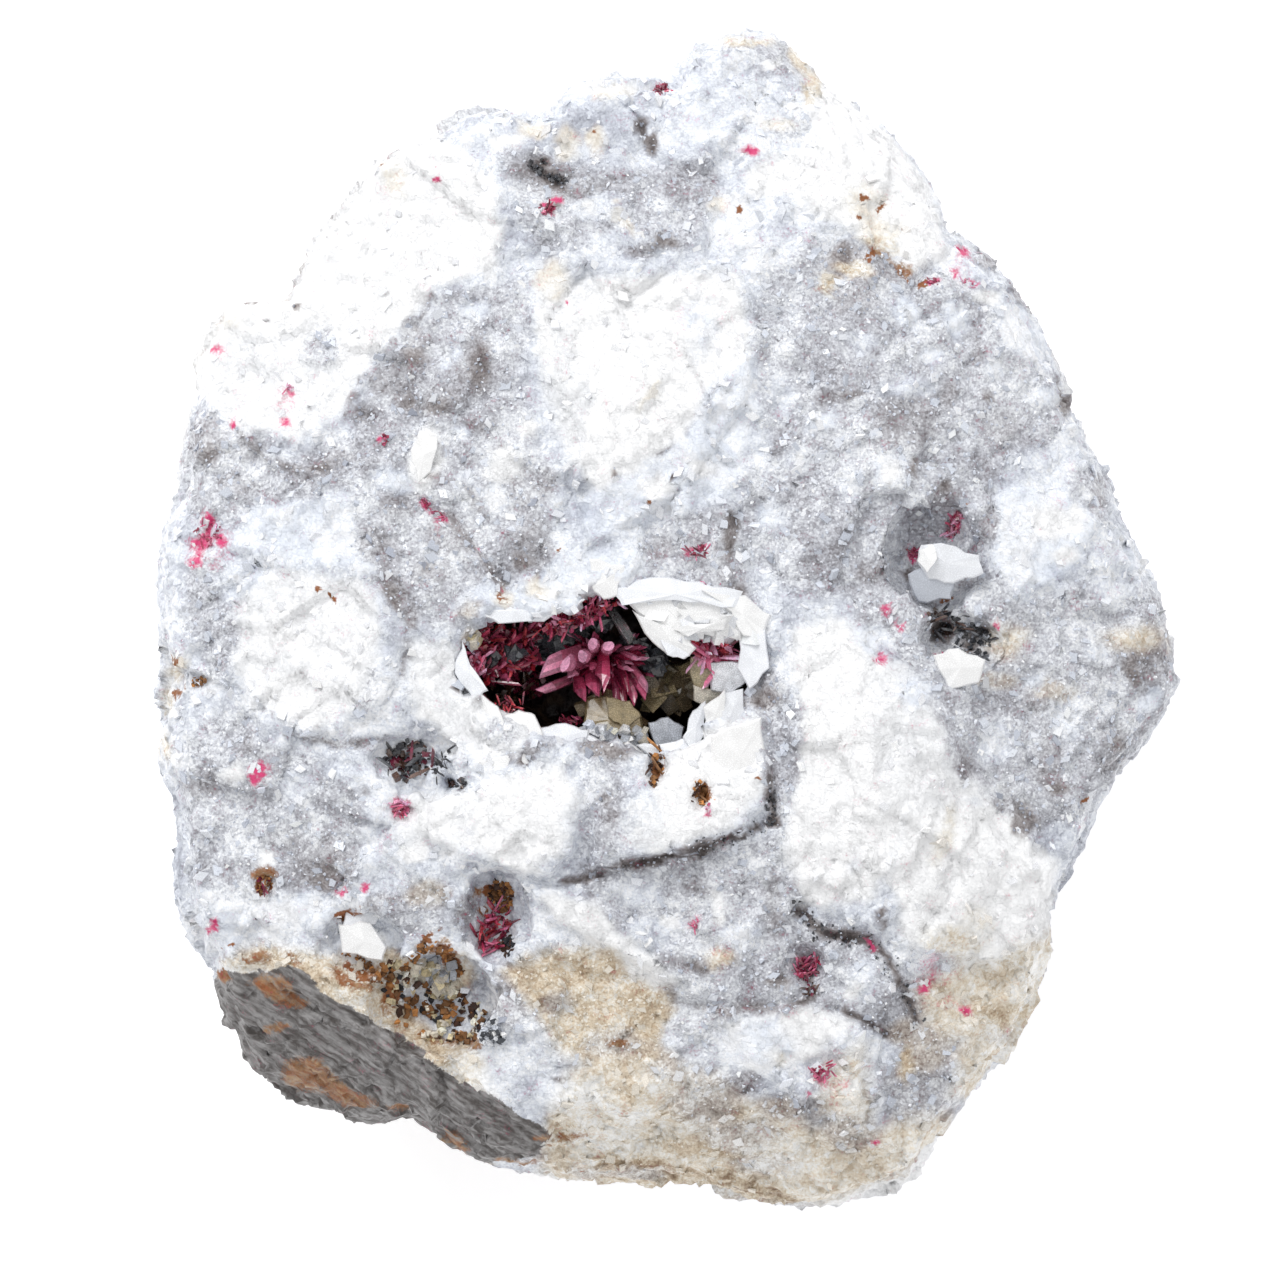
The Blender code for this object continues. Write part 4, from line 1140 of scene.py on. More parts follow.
@dataclass
class Lump:
    """The lump of rock, from its plain solid to its broken surface.

    Attributes:
        voxel: the size of the cells that the surface is rebuilt from, in metres.
        triangles: the most triangles that the finished mesh keeps.
        rest_band: the height in metres over which relief fades out towards the foot.
        highest: the height in metres that nothing passes.
        blocks, lumps, breaks, splinters: its broken surface, from coarse to fine.
        finish: the rock's colours.
        grain: the noise of its relief.
    """

    voxel: float = 0.36 * MM
    triangles: int = 190_000
    rest_band: float = 2.5 * MM
    highest: float = 47.9 * MM
    blocks: Break = Break(9.0 * MM, 0.10, 0.0)
    lumps: Break = Break(3.4 * MM, 0.15, 0.5)
    breaks: Break = Break(2.2 * MM, 0.16, 0.7)
    splinters: Break = Break(1.4 * MM, 0.18, 0.9)
    finish: RockFinish = field(default_factory=RockFinish)
    grain: Grain = field(default_factory=lambda: Grain(11))

    def rebuilt(self) -> bpy.types.Object:
        """The plain solid's copy with an even, smooth surface.

        Returns:
            The copy.
        """
        made = bpy.data.objects.new("matrix_stone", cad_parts["matrix"].data.copy())
        bpy.context.scene.collection.objects.link(made)
        made.data.materials.clear()
        weld = made.modifiers.new("weld", "WELD")
        weld.merge_threshold = 0.01 * MM
        remesh = made.modifiers.new("remesh", "REMESH")
        remesh.mode = "VOXEL"
        remesh.voxel_size = self.voxel
        smooth = made.modifiers.new("smooth", "SMOOTH")
        smooth.factor = 0.5
        smooth.iterations = 6
        return settle(made)

    def relief(self, points: np.ndarray) -> np.ndarray:
        """How far the broken surface pushes each point out.

        White spar is calmer than grey rock, but has cleavage steps.

        Args:
            points: the points in metres, one row for each.

        Returns:
            One distance in metres for each point.
        """
        noise = self.grain
        grey = Paint(points, noise).tones()[:, 0]
        calm = 1 - 0.45 * eased(1 - grey / 0.3)
        push = self.blocks.push(noise, points)
        push += self.lumps.push(noise, points) * calm
        push += noise.terraces(points + 0.2, 7.0 * MM, 2.4 * MM, 0.30 * MM) * (1.3 - 0.7 * calm)
        push += self.breaks.push(noise, points)
        push += self.splinters.push(noise, points) * calm
        push += noise.layered(points, 3.0 * MM, 3) * 0.09 * MM
        push += noise.smooth(points, 0.7 * MM) * 0.08 * MM * calm
        fade = np.clip(points[:, 2] / self.rest_band, 0, 1)
        return push * eased(fade)

    def rises(self, points: np.ndarray, normals: np.ndarray) -> np.ndarray:
        """How far the drawn plates and hollows lift the face.

        Args:
            points: the points in metres, one row for each.
            normals: the directions that they face.

        Returns:
            One distance in metres for each point.
        """
        flat = points[:, :2] + 0.25 * MM * np.stack(
            [self.grain.smooth(points + 8.8, 1.6 * MM), self.grain.smooth(points + 6.1, 1.6 * MM)], axis=1)
        lift = np.zeros(len(points))
        for rise in RISES:
            cover = rise.shape.cover(flat)
            if rise.east or rise.north:
                middle = (flat * cover[:, None]).sum(axis=0) / max(cover.sum(), 1e-9)
                away = flat - middle
                lift += cover * (rise.height * MM + away[:, 0] * rise.east + away[:, 1] * rise.north)
            else:
                lift += cover * rise.height * MM
        return lift * np.clip(normals[:, 2] * 2 - 0.4, 0, 1)

    def build(self) -> bpy.types.Object:
        """Build the lump in place of its solid.

        Returns:
            The finished lump.
        """
        made = self.rebuilt()
        points = rows_of(made.data.vertices, "co")
        normals = rows_of(made.data.vertex_normals, "vector")
        lift = self.rises(points, normals)
        points += normals * self.relief(points)[:, None]
        points[:, 2] = np.clip(points[:, 2] + lift, 0.0, self.highest)
        made.data.vertices.foreach_set("co", points.ravel())
        made.data.update()
        thin = made.modifiers.new("thin", "DECIMATE")
        thin.ratio = min(1.0, self.triangles / (2 * len(made.data.polygons)))
        made = settle(made)
        paint = Paint(rows_of(made.data.vertices, "co"), self.grain)
        layers = dict(zip(("grey", "warm", "grain"), paint.tones().T))
        layers.update({stain.value: cover for stain, cover in paint.stains().items()})
        for name, values in layers.items():
            layer = made.data.attributes.new(name, "FLOAT", "POINT")
            layer.data.foreach_set("value", values.astype(np.float32))
        made.data.materials.append(self.finish.material())
        made.data.shade_smooth()
        ride(made, "matrix_rock", "matrix")
        return made


class Surface:
    """The finished lump's surface, for setting small things on it."""

    def __init__(self, stone: bpy.types.Object) -> None:
        """Measure the lump's triangles."""
        mesh = stone.data
        mesh.calc_loop_triangles()
        corners = np.empty(len(mesh.loop_triangles) * 3, np.int32)
        mesh.loop_triangles.foreach_get("vertices", corners)
        self.triangles = corners.reshape(-1, 3)
        self.points = rows_of(mesh.vertices, "co")
        self.normals = rows_of(mesh.vertex_normals, "vector")
        self.stone = stone
        self.tones = np.stack([self.carried(name) for name in ("grey", "warm", "grain")], axis=1)
        self.cave_dark_and_shade = self.carried(Stain.CAVE_LINING_AND_SHADE.value)

    def carried(self, name: str) -> np.ndarray:
        """The numbers that the lump's mesh carries.

        Args:
            name: the name that it carries them under.

        Returns:
            One number for each point.
        """
        values = np.empty(len(self.points), np.float32)
        self.stone.data.attributes[name].data.foreach_get("value", values)
        return values

    def drop(self, px: float, py: float, start: float = 80.0, otherwise: float = 44.5) -> Vector:
        """The point of the face under a pixel.

        Args:
            px, py: the pixel.
            start: the height in millimetres to look down from.
            otherwise: the height in millimetres to give beside the lump.

        Returns:
            The point in metres.
        """
        hit, place, *_ = self.stone.ray_cast(VIEW.point(px, py, start), Vector((0, 0, -1)))
        return place if hit else VIEW.point(px, py, otherwise)

    def sample(self, count: int, seed: int, liking: Callable[[np.ndarray], np.ndarray]) -> np.ndarray:
        """Points picked by chance over the whole surface.

        Args:
            count: how many.
            seed: the start of the random numbers.
            liking: how likely each of the surface's points is, given its index.

        Returns:
            The indices of the picked points.
        """
        sides = self.points[self.triangles]
        areas = np.linalg.norm(np.cross(sides[:, 1] - sides[:, 0], sides[:, 2] - sides[:, 0]), axis=1)
        chances = areas * liking(self.triangles[:, 0])
        picker = np.random.default_rng(seed)
        return self.triangles[picker.choice(len(chances), count, p=chances / chances.sum()), 0]


# A blade's rings, as their share of its length and of its width, and how much its faces vary
BLADE_RINGS = ((0.0, 0.62), (0.35, 0.9), (0.72, 1.0))
BLADE_VARIETY = 0.42

# A small block's corners and the faces between them, and how much its faces vary
BLOCK_CORNERS = (
    (-1, -1, -1), (1, -1, -1), (1, 1, -1), (-1, 1, -1), (-1, -1, 1), (1, -1, 1), (1, 1, 1), (-1, 1, 1),
)
BLOCK_FACES = ((0, 3, 2, 1), (4, 5, 6, 7), (0, 1, 5, 4), (1, 2, 6, 5), (2, 3, 7, 6), (3, 0, 4, 7))
BLOCK_VARIETY = 0.12

# A slab's rings, as how far down they are in its thickness and their share of its width
SLAB_RINGS = ((0.0, 0.93), (0.12, 1.0), (1.0, 0.86))
SLAB_VARIETY = 0.04
SLAB_CROWN = 0.2
SLAB_DENT = 0.05 * MM

# How many spots are tried for each crystal of a heap, and how much cover one needs to be kept
TRIES = 12
INSIDE = 0.45


class CrystalMesh:
    """Many small crystals gathered into one mesh, each face with its colour."""

    def __init__(self, name: str, seed: int) -> None:
        """Start an empty gathering."""
        self.name = name
        self.chance = random.Random(seed)
        self.points: list[Vector] = []
        self.faces: list[tuple[int, ...]] = []
        self.tints: list[Colour] = []

    def add(self, points: Sequence[Vector], faces: Iterable[Sequence[int]], tints: Iterable[Colour]) -> None:
        """Add one crystal.

        Args:
            points: its points in metres.
            faces: its faces, as the numbers of their points.
            tints: a colour for each face.
        """
        start = len(self.points)
        self.points.extend(points)
        for face, tint in zip(faces, tints):
            self.faces.append(tuple(start + i for i in face))
            self.tints.append(tint)

    def varied(self, tint: Colour, amount: float) -> Colour:
        """A colour made lighter or darker by chance."""
        factor = 1 + self.chance.uniform(-amount, amount)
        return tuple(min(1.0, part * factor) for part in tint)

    def blade(self, base: Vector, tip: Vector, width: float, thick: float, root: Colour, end: Colour,
              sides: int = 8, blunt: float = 0.8, lean: float = 0.5) -> None:
        """Add a long flattened crystal with grooved sides and a slanting end.

        Args:
            base, tip: its ends in metres.
            width, thick: its sizes across in metres.
            root, end: its colours at its base and its tip, the paler tip partly the crystal's colour and
                partly painted highlight.
            sides: how many sides it has.
            blunt: how wide its tip is, as a share of its width.
            lean: how far its end slants, in widths.
        """
        axis = (tip - base).normalized()
        across = axis.cross(Vector((0, 0, 1)))
        across = across.normalized() if across.length > 0.1 else Vector((1, 0, 0))
        across = Matrix.Rotation(self.chance.uniform(-0.5, 0.5), 3, axis) @ across
        up = axis.cross(across)
        rings = (*BLADE_RINGS, (1.0, blunt))
        groove = [self.chance.uniform(0.84, 1.0) for _ in range(sides)]
        slant = self.chance.choice((-1, 1)) * lean * width
        points: list[Vector] = []
        for share, size in rings:
            for side in range(sides):
                angle = math.tau * (side + 0.5) / sides
                out_x = math.cos(angle) * width / 2 * size * groove[side]
                out_y = math.sin(angle) * thick / 2 * size * groove[side]
                shift = slant * math.cos(angle) * share**3
                points.append(base.lerp(tip, share) + across * out_x + up * out_y + axis * shift)
        faces, tints = [], []
        for ring in range(len(rings) - 1):
            part = (rings[ring][0] + rings[ring + 1][0]) / 2
            blend = part * part
            tone = tuple(r * (1 - blend) + e * blend for r, e in zip(root, end))
            for side in range(sides):
                after = (side + 1) % sides
                low, high = ring * sides, (ring + 1) * sides
                faces.append((low + side, low + after, high + after, high + side))
                tints.append(self.varied(tone, BLADE_VARIETY))
        top = (len(rings) - 1) * sides
        faces.append(tuple(range(sides - 1, -1, -1)))
        faces.append(tuple(range(top, top + sides)))
        # The end facet is painted lighter than the tip, as a painted highlight.
        tints.extend((root, tuple(min(1.0, part * 1.35 + 0.03) for part in end)))
        self.add(points, faces, tints)

    def block(self, place: Vector, sizes: Sequence[float], turn: Euler, tint: Colour, cut: float) -> None:
        """Add a small skewed block with its corners cut.

        Args:
            place: its middle in metres.
            sizes: its three sizes in metres.
            turn: how it is turned.
            tint: its colour.
            cut: how much of each corner is cut off.
        """
        skew = self.chance.uniform(-0.35, 0.35)
        frame_of = turn.to_matrix()
        corners = []
        for x, y, z in BLOCK_CORNERS:
            jitter = [self.chance.uniform(1 - cut, 1.0) for _ in range(3)]
            local = Vector((x * jitter[0] + skew * y, y * jitter[1], z * jitter[2] + 0.3 * skew * x))
            local = Vector(part * size / 2 for part, size in zip(local, sizes))
            corners.append(place + frame_of @ local)
        self.add(corners, BLOCK_FACES, [self.varied(tint, BLOCK_VARIETY) for _ in BLOCK_FACES])

    def chipped(self, drawn: Sequence[Vector]) -> list[Vector]:
        """An outline with two uneven points more on each of its sides.

        Args:
            drawn: its drawn corners in metres.

        Returns:
            All its points in order.
        """
        flat = []
        for i, corner in enumerate(drawn):
            side = drawn[(i + 1) % len(drawn)] - corner
            for part in (0.0, self.chance.uniform(0.25, 0.42), self.chance.uniform(0.58, 0.75)):
                out = Vector((side.y, -side.x, 0)) * (self.chance.uniform(-0.07, 0.07) if part else 0.0)
                flat.append(corner + side * part + out)
        return flat

    def slab(self, corners: Sequence[Pixel], height: float, thick: float, east: float, north: float,
             tint: Colour) -> None:
        """Add a plate of spar with drawn corners and a bevelled edge.

        Args:
            corners: its corners in pixels.
            height: how high its middle is, in millimetres.
            thick: its thickness in millimetres.
            east, north: how much it rises to the right and to the top, in millimetres per millimetre.
            tint: its colour.
        """
        flat = self.chipped([Vector((*VIEW.place(*corner), 0)) for corner in corners])
        middle = sum(flat, Vector()) / len(flat)
        points: list[Vector] = []
        for drop, size in SLAB_RINGS:
            for corner in flat:
                away = (corner - middle) * size
                dent = self.chance.uniform(-SLAB_DENT, SLAB_DENT)
                z = height * MM + away.x * east + away.y * north - drop * thick * MM + dent
                points.append(Vector((middle.x + away.x, middle.y + away.y, z)))
        count = len(flat)
        area = sum(here.x * after.y - after.x * here.y for here, after in zip(flat, flat[1:] + flat[:1]))
        top = len(points)
        points.append(Vector((middle.x, middle.y, (height + SLAB_CROWN) * MM)))
        faces = [(i, (i + 1) % count, top) for i in range(count)]
        faces.append(tuple(range(top - 1, 2 * count - 1, -1)))
        for ring in (0, 1):
            for i in range(count):
                after = (i + 1) % count
                upper, lower = ring * count, (ring + 1) * count
                faces.append((upper + i, lower + i, lower + after, upper + after))
        if area < 0:
            faces = [face[::-1] for face in faces]
        self.add(points, faces, [self.varied(tint, SLAB_VARIETY) for _ in faces])

    def heap(self, shape: Shape, top: Callable[[float, float], float], count: int,
             size: tuple[float, float], tints: Sequence[Colour], needles: float) -> None:
        """Add a crowd of small crystals that covers a patch.

        Args:
            shape: the patch.
            top: how high the crowd is over a pixel, in millimetres.
            count: how many crystals.
            size: the smallest and largest crystal in millimetres.
            tints: the colours to pick from.
            needles: the share of them that are thin blades.
        """
        left, high, right, low = shape.box()
        chance = self.chance
        spots = [(chance.uniform(left, right), chance.uniform(high, low)) for _ in range(count * TRIES)]
        covers = shape.cover(np.array([VIEW.place(*spot) for spot in spots]))
        kept = [spot for spot, cover in zip(spots, covers) if cover > INSIDE][:count]
        for px, py in kept:
            width = chance.uniform(*size) * MM
            tint = self.varied(chance.choice(tints), 0.3)
            place = VIEW.point(px, py, top(px, py) + chance.uniform(-0.3, 0.3))
            if chance.random() < needles:
                way = Vector((chance.gauss(0, 1), chance.gauss(0, 1), chance.uniform(0.1, 1.2)))
                tip = place + way.normalized() * width * chance.uniform(1.6, 3.2)
                # Needle tips are painted lighter than their roots, partly as painted highlight.
                end = tuple(min(1.0, part * 1.5 + 0.05) for part in tint)
                self.blade(place, tip, width * 0.5, width * 0.28, tint, end, sides=6)
            else:
                turn = Euler([chance.uniform(0, math.tau) for _ in range(3)])
                self.block(place, (width, width * 0.8, width * 0.65), turn, tint, 0.45)

    def build(self, material: bpy.types.Material, slot: str, *nodes: str) -> bpy.types.Object:
        """Make the piece and fix it to the lump.

        Args:
            material: its material.
            slot: a material slot's name, passed on to ride.
            nodes: the solids that it stands for.

        Returns:
            The finished piece.
        """
        mesh = bpy.data.meshes.new(self.name)
        mesh.from_pydata(self.points, [], self.faces)
        tints = mesh.attributes.new("tint", "FLOAT_COLOR", "CORNER")
        corners = [(*tint, 1.0) for face, tint in zip(self.faces, self.tints) for _ in face]
        tints.data.foreach_set("color", np.array(corners, np.float32).ravel())
        mesh.materials.append(material)
        made = bpy.data.objects.new(self.name, mesh)
        bpy.context.scene.collection.objects.link(made)
        ride(made, slot, *nodes)
        return made


@dataclass(frozen=True)
class CrystalFinish:
    """A crystal's finish, over the colours that its faces carry.

    Attributes:
        name: the material's name.
        roughness: how rough it is.
        clear: how much light goes through it.
        ior: how strongly it bends light.
        speckle: how much its colour varies, from 0 to 1.
        fleck: the size of that variation in millimetres.
        coat: how strong its gloss coat is.
    """

    name: str
    roughness: float
    clear: float = 0.0
    ior: float = 1.55
    speckle: float = 0.3
    fleck: float = 0.35
    coat: float = 0.0

    def material(self) -> bpy.types.Material:
        """The node material of the crystal.

        Returns:
            The material, which reads the tints that the crystals' meshes carry.
        """
        made = Recipe(self.name)
        tint = made.attribute("tint").outputs["Color"]
        cloud = made.noise(self.fleck, 4.0)
        scratch = made.noise(0.12, 3.0)
        mottle = made.total((cloud, 0.7), (scratch, 0.3))
        shade = made.ease(mottle, 0.3, 0.7, 1 - self.speckle, 1.0 + self.speckle * 0.4)
        colour = made.mix(1.0, tint, shade, "MULTIPLY")
        rough = made.ease(scratch, 0.3, 0.7, self.roughness * 0.7, self.roughness * 1.3)
        made.shade(Base_Color=colour, Roughness=rough, IOR=self.ior, Transmission_Weight=self.clear,
                   Coat_Weight=self.coat, Coat_Roughness=0.08)
        made.bump(made.total((cloud, 0.05), (scratch, 0.006)), 0.5)
        return made.material


ERYTHRITE = CrystalFinish("erythrite", 0.22, 0.12, 1.63, 0.35, 0.3, 0.4)
SPAR = CrystalFinish("white_spar", 0.24, 0.12, 1.55, 0.06, 0.9)
QUARTZ = CrystalFinish("clear_quartz", 0.05, 0.92, 1.54, 0.08, 0.5)
ORE = CrystalFinish("black_ore", 0.30, 0.0, 1.8, 0.4, 0.4)
AMBER = CrystalFinish("amber_calcite", 0.25, 0.35, 1.55, 0.45, 0.8)
HONEY = CrystalFinish("honey_calcite", 0.25, 0.30, 1.55, 0.30, 0.8)
RUST = CrystalFinish("rust_crust", 0.75, 0.0, 1.5, 0.5, 0.3)
CREAM = CrystalFinish("cream_calcite", 0.35, 0.2, 1.5, 0.35, 0.5)
SPECKLED = CrystalFinish("speckled_grey", 0.6, 0.0, 1.5, 0.5, 0.15)

DEEP: Colour = (0.16, 0.010, 0.035)
CRIMSON: Colour = (0.34, 0.018, 0.065)
ROSE: Colour = (0.58, 0.11, 0.22)
PINK: Colour = (0.80, 0.34, 0.50)
RED: Colour = (0.38, 0.02, 0.035)
BLACK: Colour = (0.022, 0.022, 0.028)
COAL: Colour = (0.05, 0.055, 0.065)
ICE: Colour = (0.91, 0.93, 0.97)
CHALK: Colour = (0.97, 0.97, 0.97)
MIST: Colour = (0.55, 0.58, 0.64)
CREAMY: Colour = (0.86, 0.80, 0.68)
GOLD: Colour = (0.72, 0.62, 0.40)
BROWN: Colour = (0.22, 0.10, 0.035)
DARK_BROWN: Colour = (0.07, 0.03, 0.018)
ORANGE: Colour = (0.46, 0.20, 0.06)


@dataclass(frozen=True)
class Blade:
    """A large crystal of the main spray.

    Attributes:
        base, tip: its ends in pixels.
        base_height, tip_height: their heights in millimetres.
        width, thick: its sizes across in pixels.
        root, end: its colours at its base and its tip, the paler tip partly the crystal's colour and partly
            painted highlight.
        blunt: how wide its tip is, as a share of its width.
    """

    base: Pixel
    base_height: float
    tip: Pixel
    tip_height: float
    width: float
    thick: float
    root: Colour
    end: Colour
    blunt: float = 0.8


@dataclass
class MainSpray:
    """The fan of crimson blades in the main cavity.

    Attributes:
        blades: the large blades, placed one by one.
        heart: the pixel that the fan spreads from.
        heart_height: its height in millimetres.
        fillers: how many small blades fill the fan's heart.
        wide: how much wider the blades are than drawn.
    """

    blades: tuple[Blade, ...] = (
        Blade((604, 645), 39.6, (545, 667), 43.0, 16, 7, CRIMSON, PINK, 0.9),
        Blade((588, 672), 38.2, (541, 691), 40.8, 9, 6, CRIMSON, PINK, 0.8),
        Blade((577, 670), 39.4, (582, 698), 41.6, 12, 6, CRIMSON, ROSE, 0.6),
        Blade((590, 666), 39.6, (595, 692), 42.0, 12, 7, CRIMSON, ROSE, 0.6),
        Blade((604, 650), 41.0, (603, 686), 43.2, 13, 7, CRIMSON, ROSE, 0.2),
        Blade((608, 662), 38.8, (607, 704), 40.4, 9, 5, DEEP, CRIMSON, 0.7),
        Blade((612, 658), 38.8, (617, 702), 40.6, 7, 5, DEEP, ROSE, 0.7),
        Blade((615, 656), 38.8, (625, 705), 40.6, 9, 5, DEEP, CRIMSON, 0.7),
        Blade((618, 655), 38.8, (636, 700), 40.8, 9, 5, CRIMSON, ROSE, 0.8),
        Blade((621, 654), 39.0, (646, 695), 41.0, 8, 5, DEEP, ROSE, 0.8),
        Blade((625, 656), 39.0, (647, 687), 41.2, 7, 5, CRIMSON, PINK, 0.8),
        Blade((616, 652), 39.4, (629, 690), 41.6, 7, 4, DEEP, CRIMSON, 0.6),
        Blade((622, 652), 40.0, (638, 659), 42.4, 5, 4, ROSE, PINK, 0.7),
        Blade((582, 660), 40.4, (566, 664), 43.6, 15, 11, ROSE, PINK, 0.8),
        Blade((590, 656), 40.4, (583, 656), 43.8, 13, 11, ROSE, PINK, 0.8),
        Blade((596, 650), 40.4, (593, 644), 43.8, 12, 10, ROSE, PINK, 0.8),
        Blade((606, 652), 40.4, (609, 646), 43.8, 11, 11, ROSE, PINK, 0.8),
        Blade((600, 645), 39.4, (594, 634), 42.0, 7, 6, CRIMSON, ROSE, 0.5),
        Blade((596, 660), 40.0, (593, 668), 42.6, 9, 7, DEEP, ROSE, 0.5),
        Blade((578, 664), 39.4, (572, 676), 41.6, 10, 6, CRIMSON, PINK, 0.5),
        Blade((600, 672), 39.4, (598, 694), 41.2, 6, 6, CRIMSON, PINK, 0.5),
        Blade((626, 648), 39.4, (645, 648), 41.2, 5, 4, CRIMSON, ROSE, 0.4),
        Blade((640, 670), 38.4, (652, 676), 40.2, 5, 4, CRIMSON, ROSE, 0.4),
    )
    heart: Pixel = (603.0, 656.0)
    heart_height: float = 39.0
    fillers: int = 150
    wide: float = 1.32

    def build(self) -> None:
        """Build the spray in place of its solid."""
        made = CrystalMesh("erythrite_spray_blades", 5)
        chance = made.chance
        for blade in self.blades:
            base = VIEW.point(*blade.base, blade.base_height)
            tip = VIEW.point(*blade.tip, blade.tip_height)
            made.blade(base, tip, blade.width * self.wide * VIEW.pixel, blade.thick * self.wide * VIEW.pixel,
                       blade.root, blade.end, 10, blade.blunt)
        for _ in range(self.fillers):
            turn = chance.uniform(math.radians(130), math.radians(400))
            reach = chance.uniform(14, 44)
            tip = (self.heart[0] + math.cos(turn) * reach, self.heart[1] - math.sin(turn) * reach * 0.9)
            root = (self.heart[0] + math.cos(turn) * 6, self.heart[1] - math.sin(turn) * 5)
            base = VIEW.point(*root, self.heart_height)
            end = VIEW.point(*tip, self.heart_height + chance.uniform(0.2, 2.6))
            made.blade(base, end, chance.uniform(0.3, 0.6) * MM, chance.uniform(0.2, 0.4) * MM, DEEP,
                       chance.choice((CRIMSON, ROSE, ROSE, DEEP, PINK)), 6, 0.6)
        made.build(ERYTHRITE.material(), "erythrite", "erythrite_spray")


# How far the crystals that lie on the rock stand out of it, in millimetres
STAND_OUT = 0.05


@dataclass(frozen=True)
class Crowd:
    """A crowd of small crystals over a patch.

    Attributes:
        shape: the patch.
        height: how high it is at its middle, in millimetres, or None to lie on the rock.
        east, north: how much it rises to the right and to the top, in millimetres per pixel.
        count: how many crystals.
        size: the smallest and largest crystal in millimetres.
        tints: the colours to pick from.
        needles: the share of them that are thin blades.
    """

    shape: Shape
    height: float | None
    count: int
    size: tuple[float, float]
    tints: tuple[Colour, ...]
    needles: float = 0.0
    east: float = 0.0
    north: float = 0.0

    def middle(self) -> Pixel:
        """The pixel at the patch's middle."""
        if isinstance(self.shape, Oval):
            return self.shape.px, self.shape.py
        rows = self.shape.corners if isinstance(self.shape, Outline) else self.shape.points
        return sum(p[0] for p in rows) / len(rows), sum(p[1] for p in rows) / len(rows)

    def fill(self, made: CrystalMesh, surface: Surface) -> None:
        """Add the crowd to a mesh.

        Args:
            made: the mesh.
            surface: the lump's surface.
        """
        px, py = self.middle()

        def top(x: float, y: float) -> float:
            """The crowd's height in millimetres over a pixel."""
            if self.height is None:
                return surface.drop(x, y).z / MM + STAND_OUT
            return self.height + (x - px) * self.east + (py - y) * self.north

        made.heap(self.shape, top, self.count, self.size, self.tints, self.needles)


@dataclass(frozen=True)
class Slab:
    """A plate with drawn corners.

    Attributes:
        corners: its corners in pixels.
        height: how high its middle is, in millimetres.
        thick: its thickness in millimetres.
        east, north: how much it rises to the right and to the top, in millimetres per millimetre.
        tint: its colour.
    """

    corners: tuple[Pixel, ...]
    height: float
    thick: float
    east: float
    north: float
    tint: Colour


@dataclass(frozen=True)
class Growth:
    """A piece made of crowds and slabs in one finish.

    Attributes:
        name: the piece's name.
        finish: its finish.
        nodes: the solids that it stands for.
        crowds: its crowds of small crystals.
        slabs: its drawn plates.
    """

    name: str
    finish: CrystalFinish
    nodes: tuple[str, ...]
    crowds: tuple[Crowd, ...] = ()
    slabs: tuple[Slab, ...] = ()

    def build(self, surface: Surface, materials: dict[str, bpy.types.Material], seed: int) -> None:
        """Build the piece in place of its solids.

        Args:
            surface: the lump's surface.
            materials: the materials made so far by their finish's name, to which this adds its own.
            seed: the start of the random numbers.
        """
        made = CrystalMesh(self.name, seed)
        for crowd in self.crowds:
            crowd.fill(made, surface)
        for slab in self.slabs:
            made.slab(slab.corners, slab.height, slab.thick, slab.east, slab.north, slab.tint)
        if self.finish.name not in materials:
            materials[self.finish.name] = self.finish.material()
        made.build(materials[self.finish.name], self.finish.name, *self.nodes)


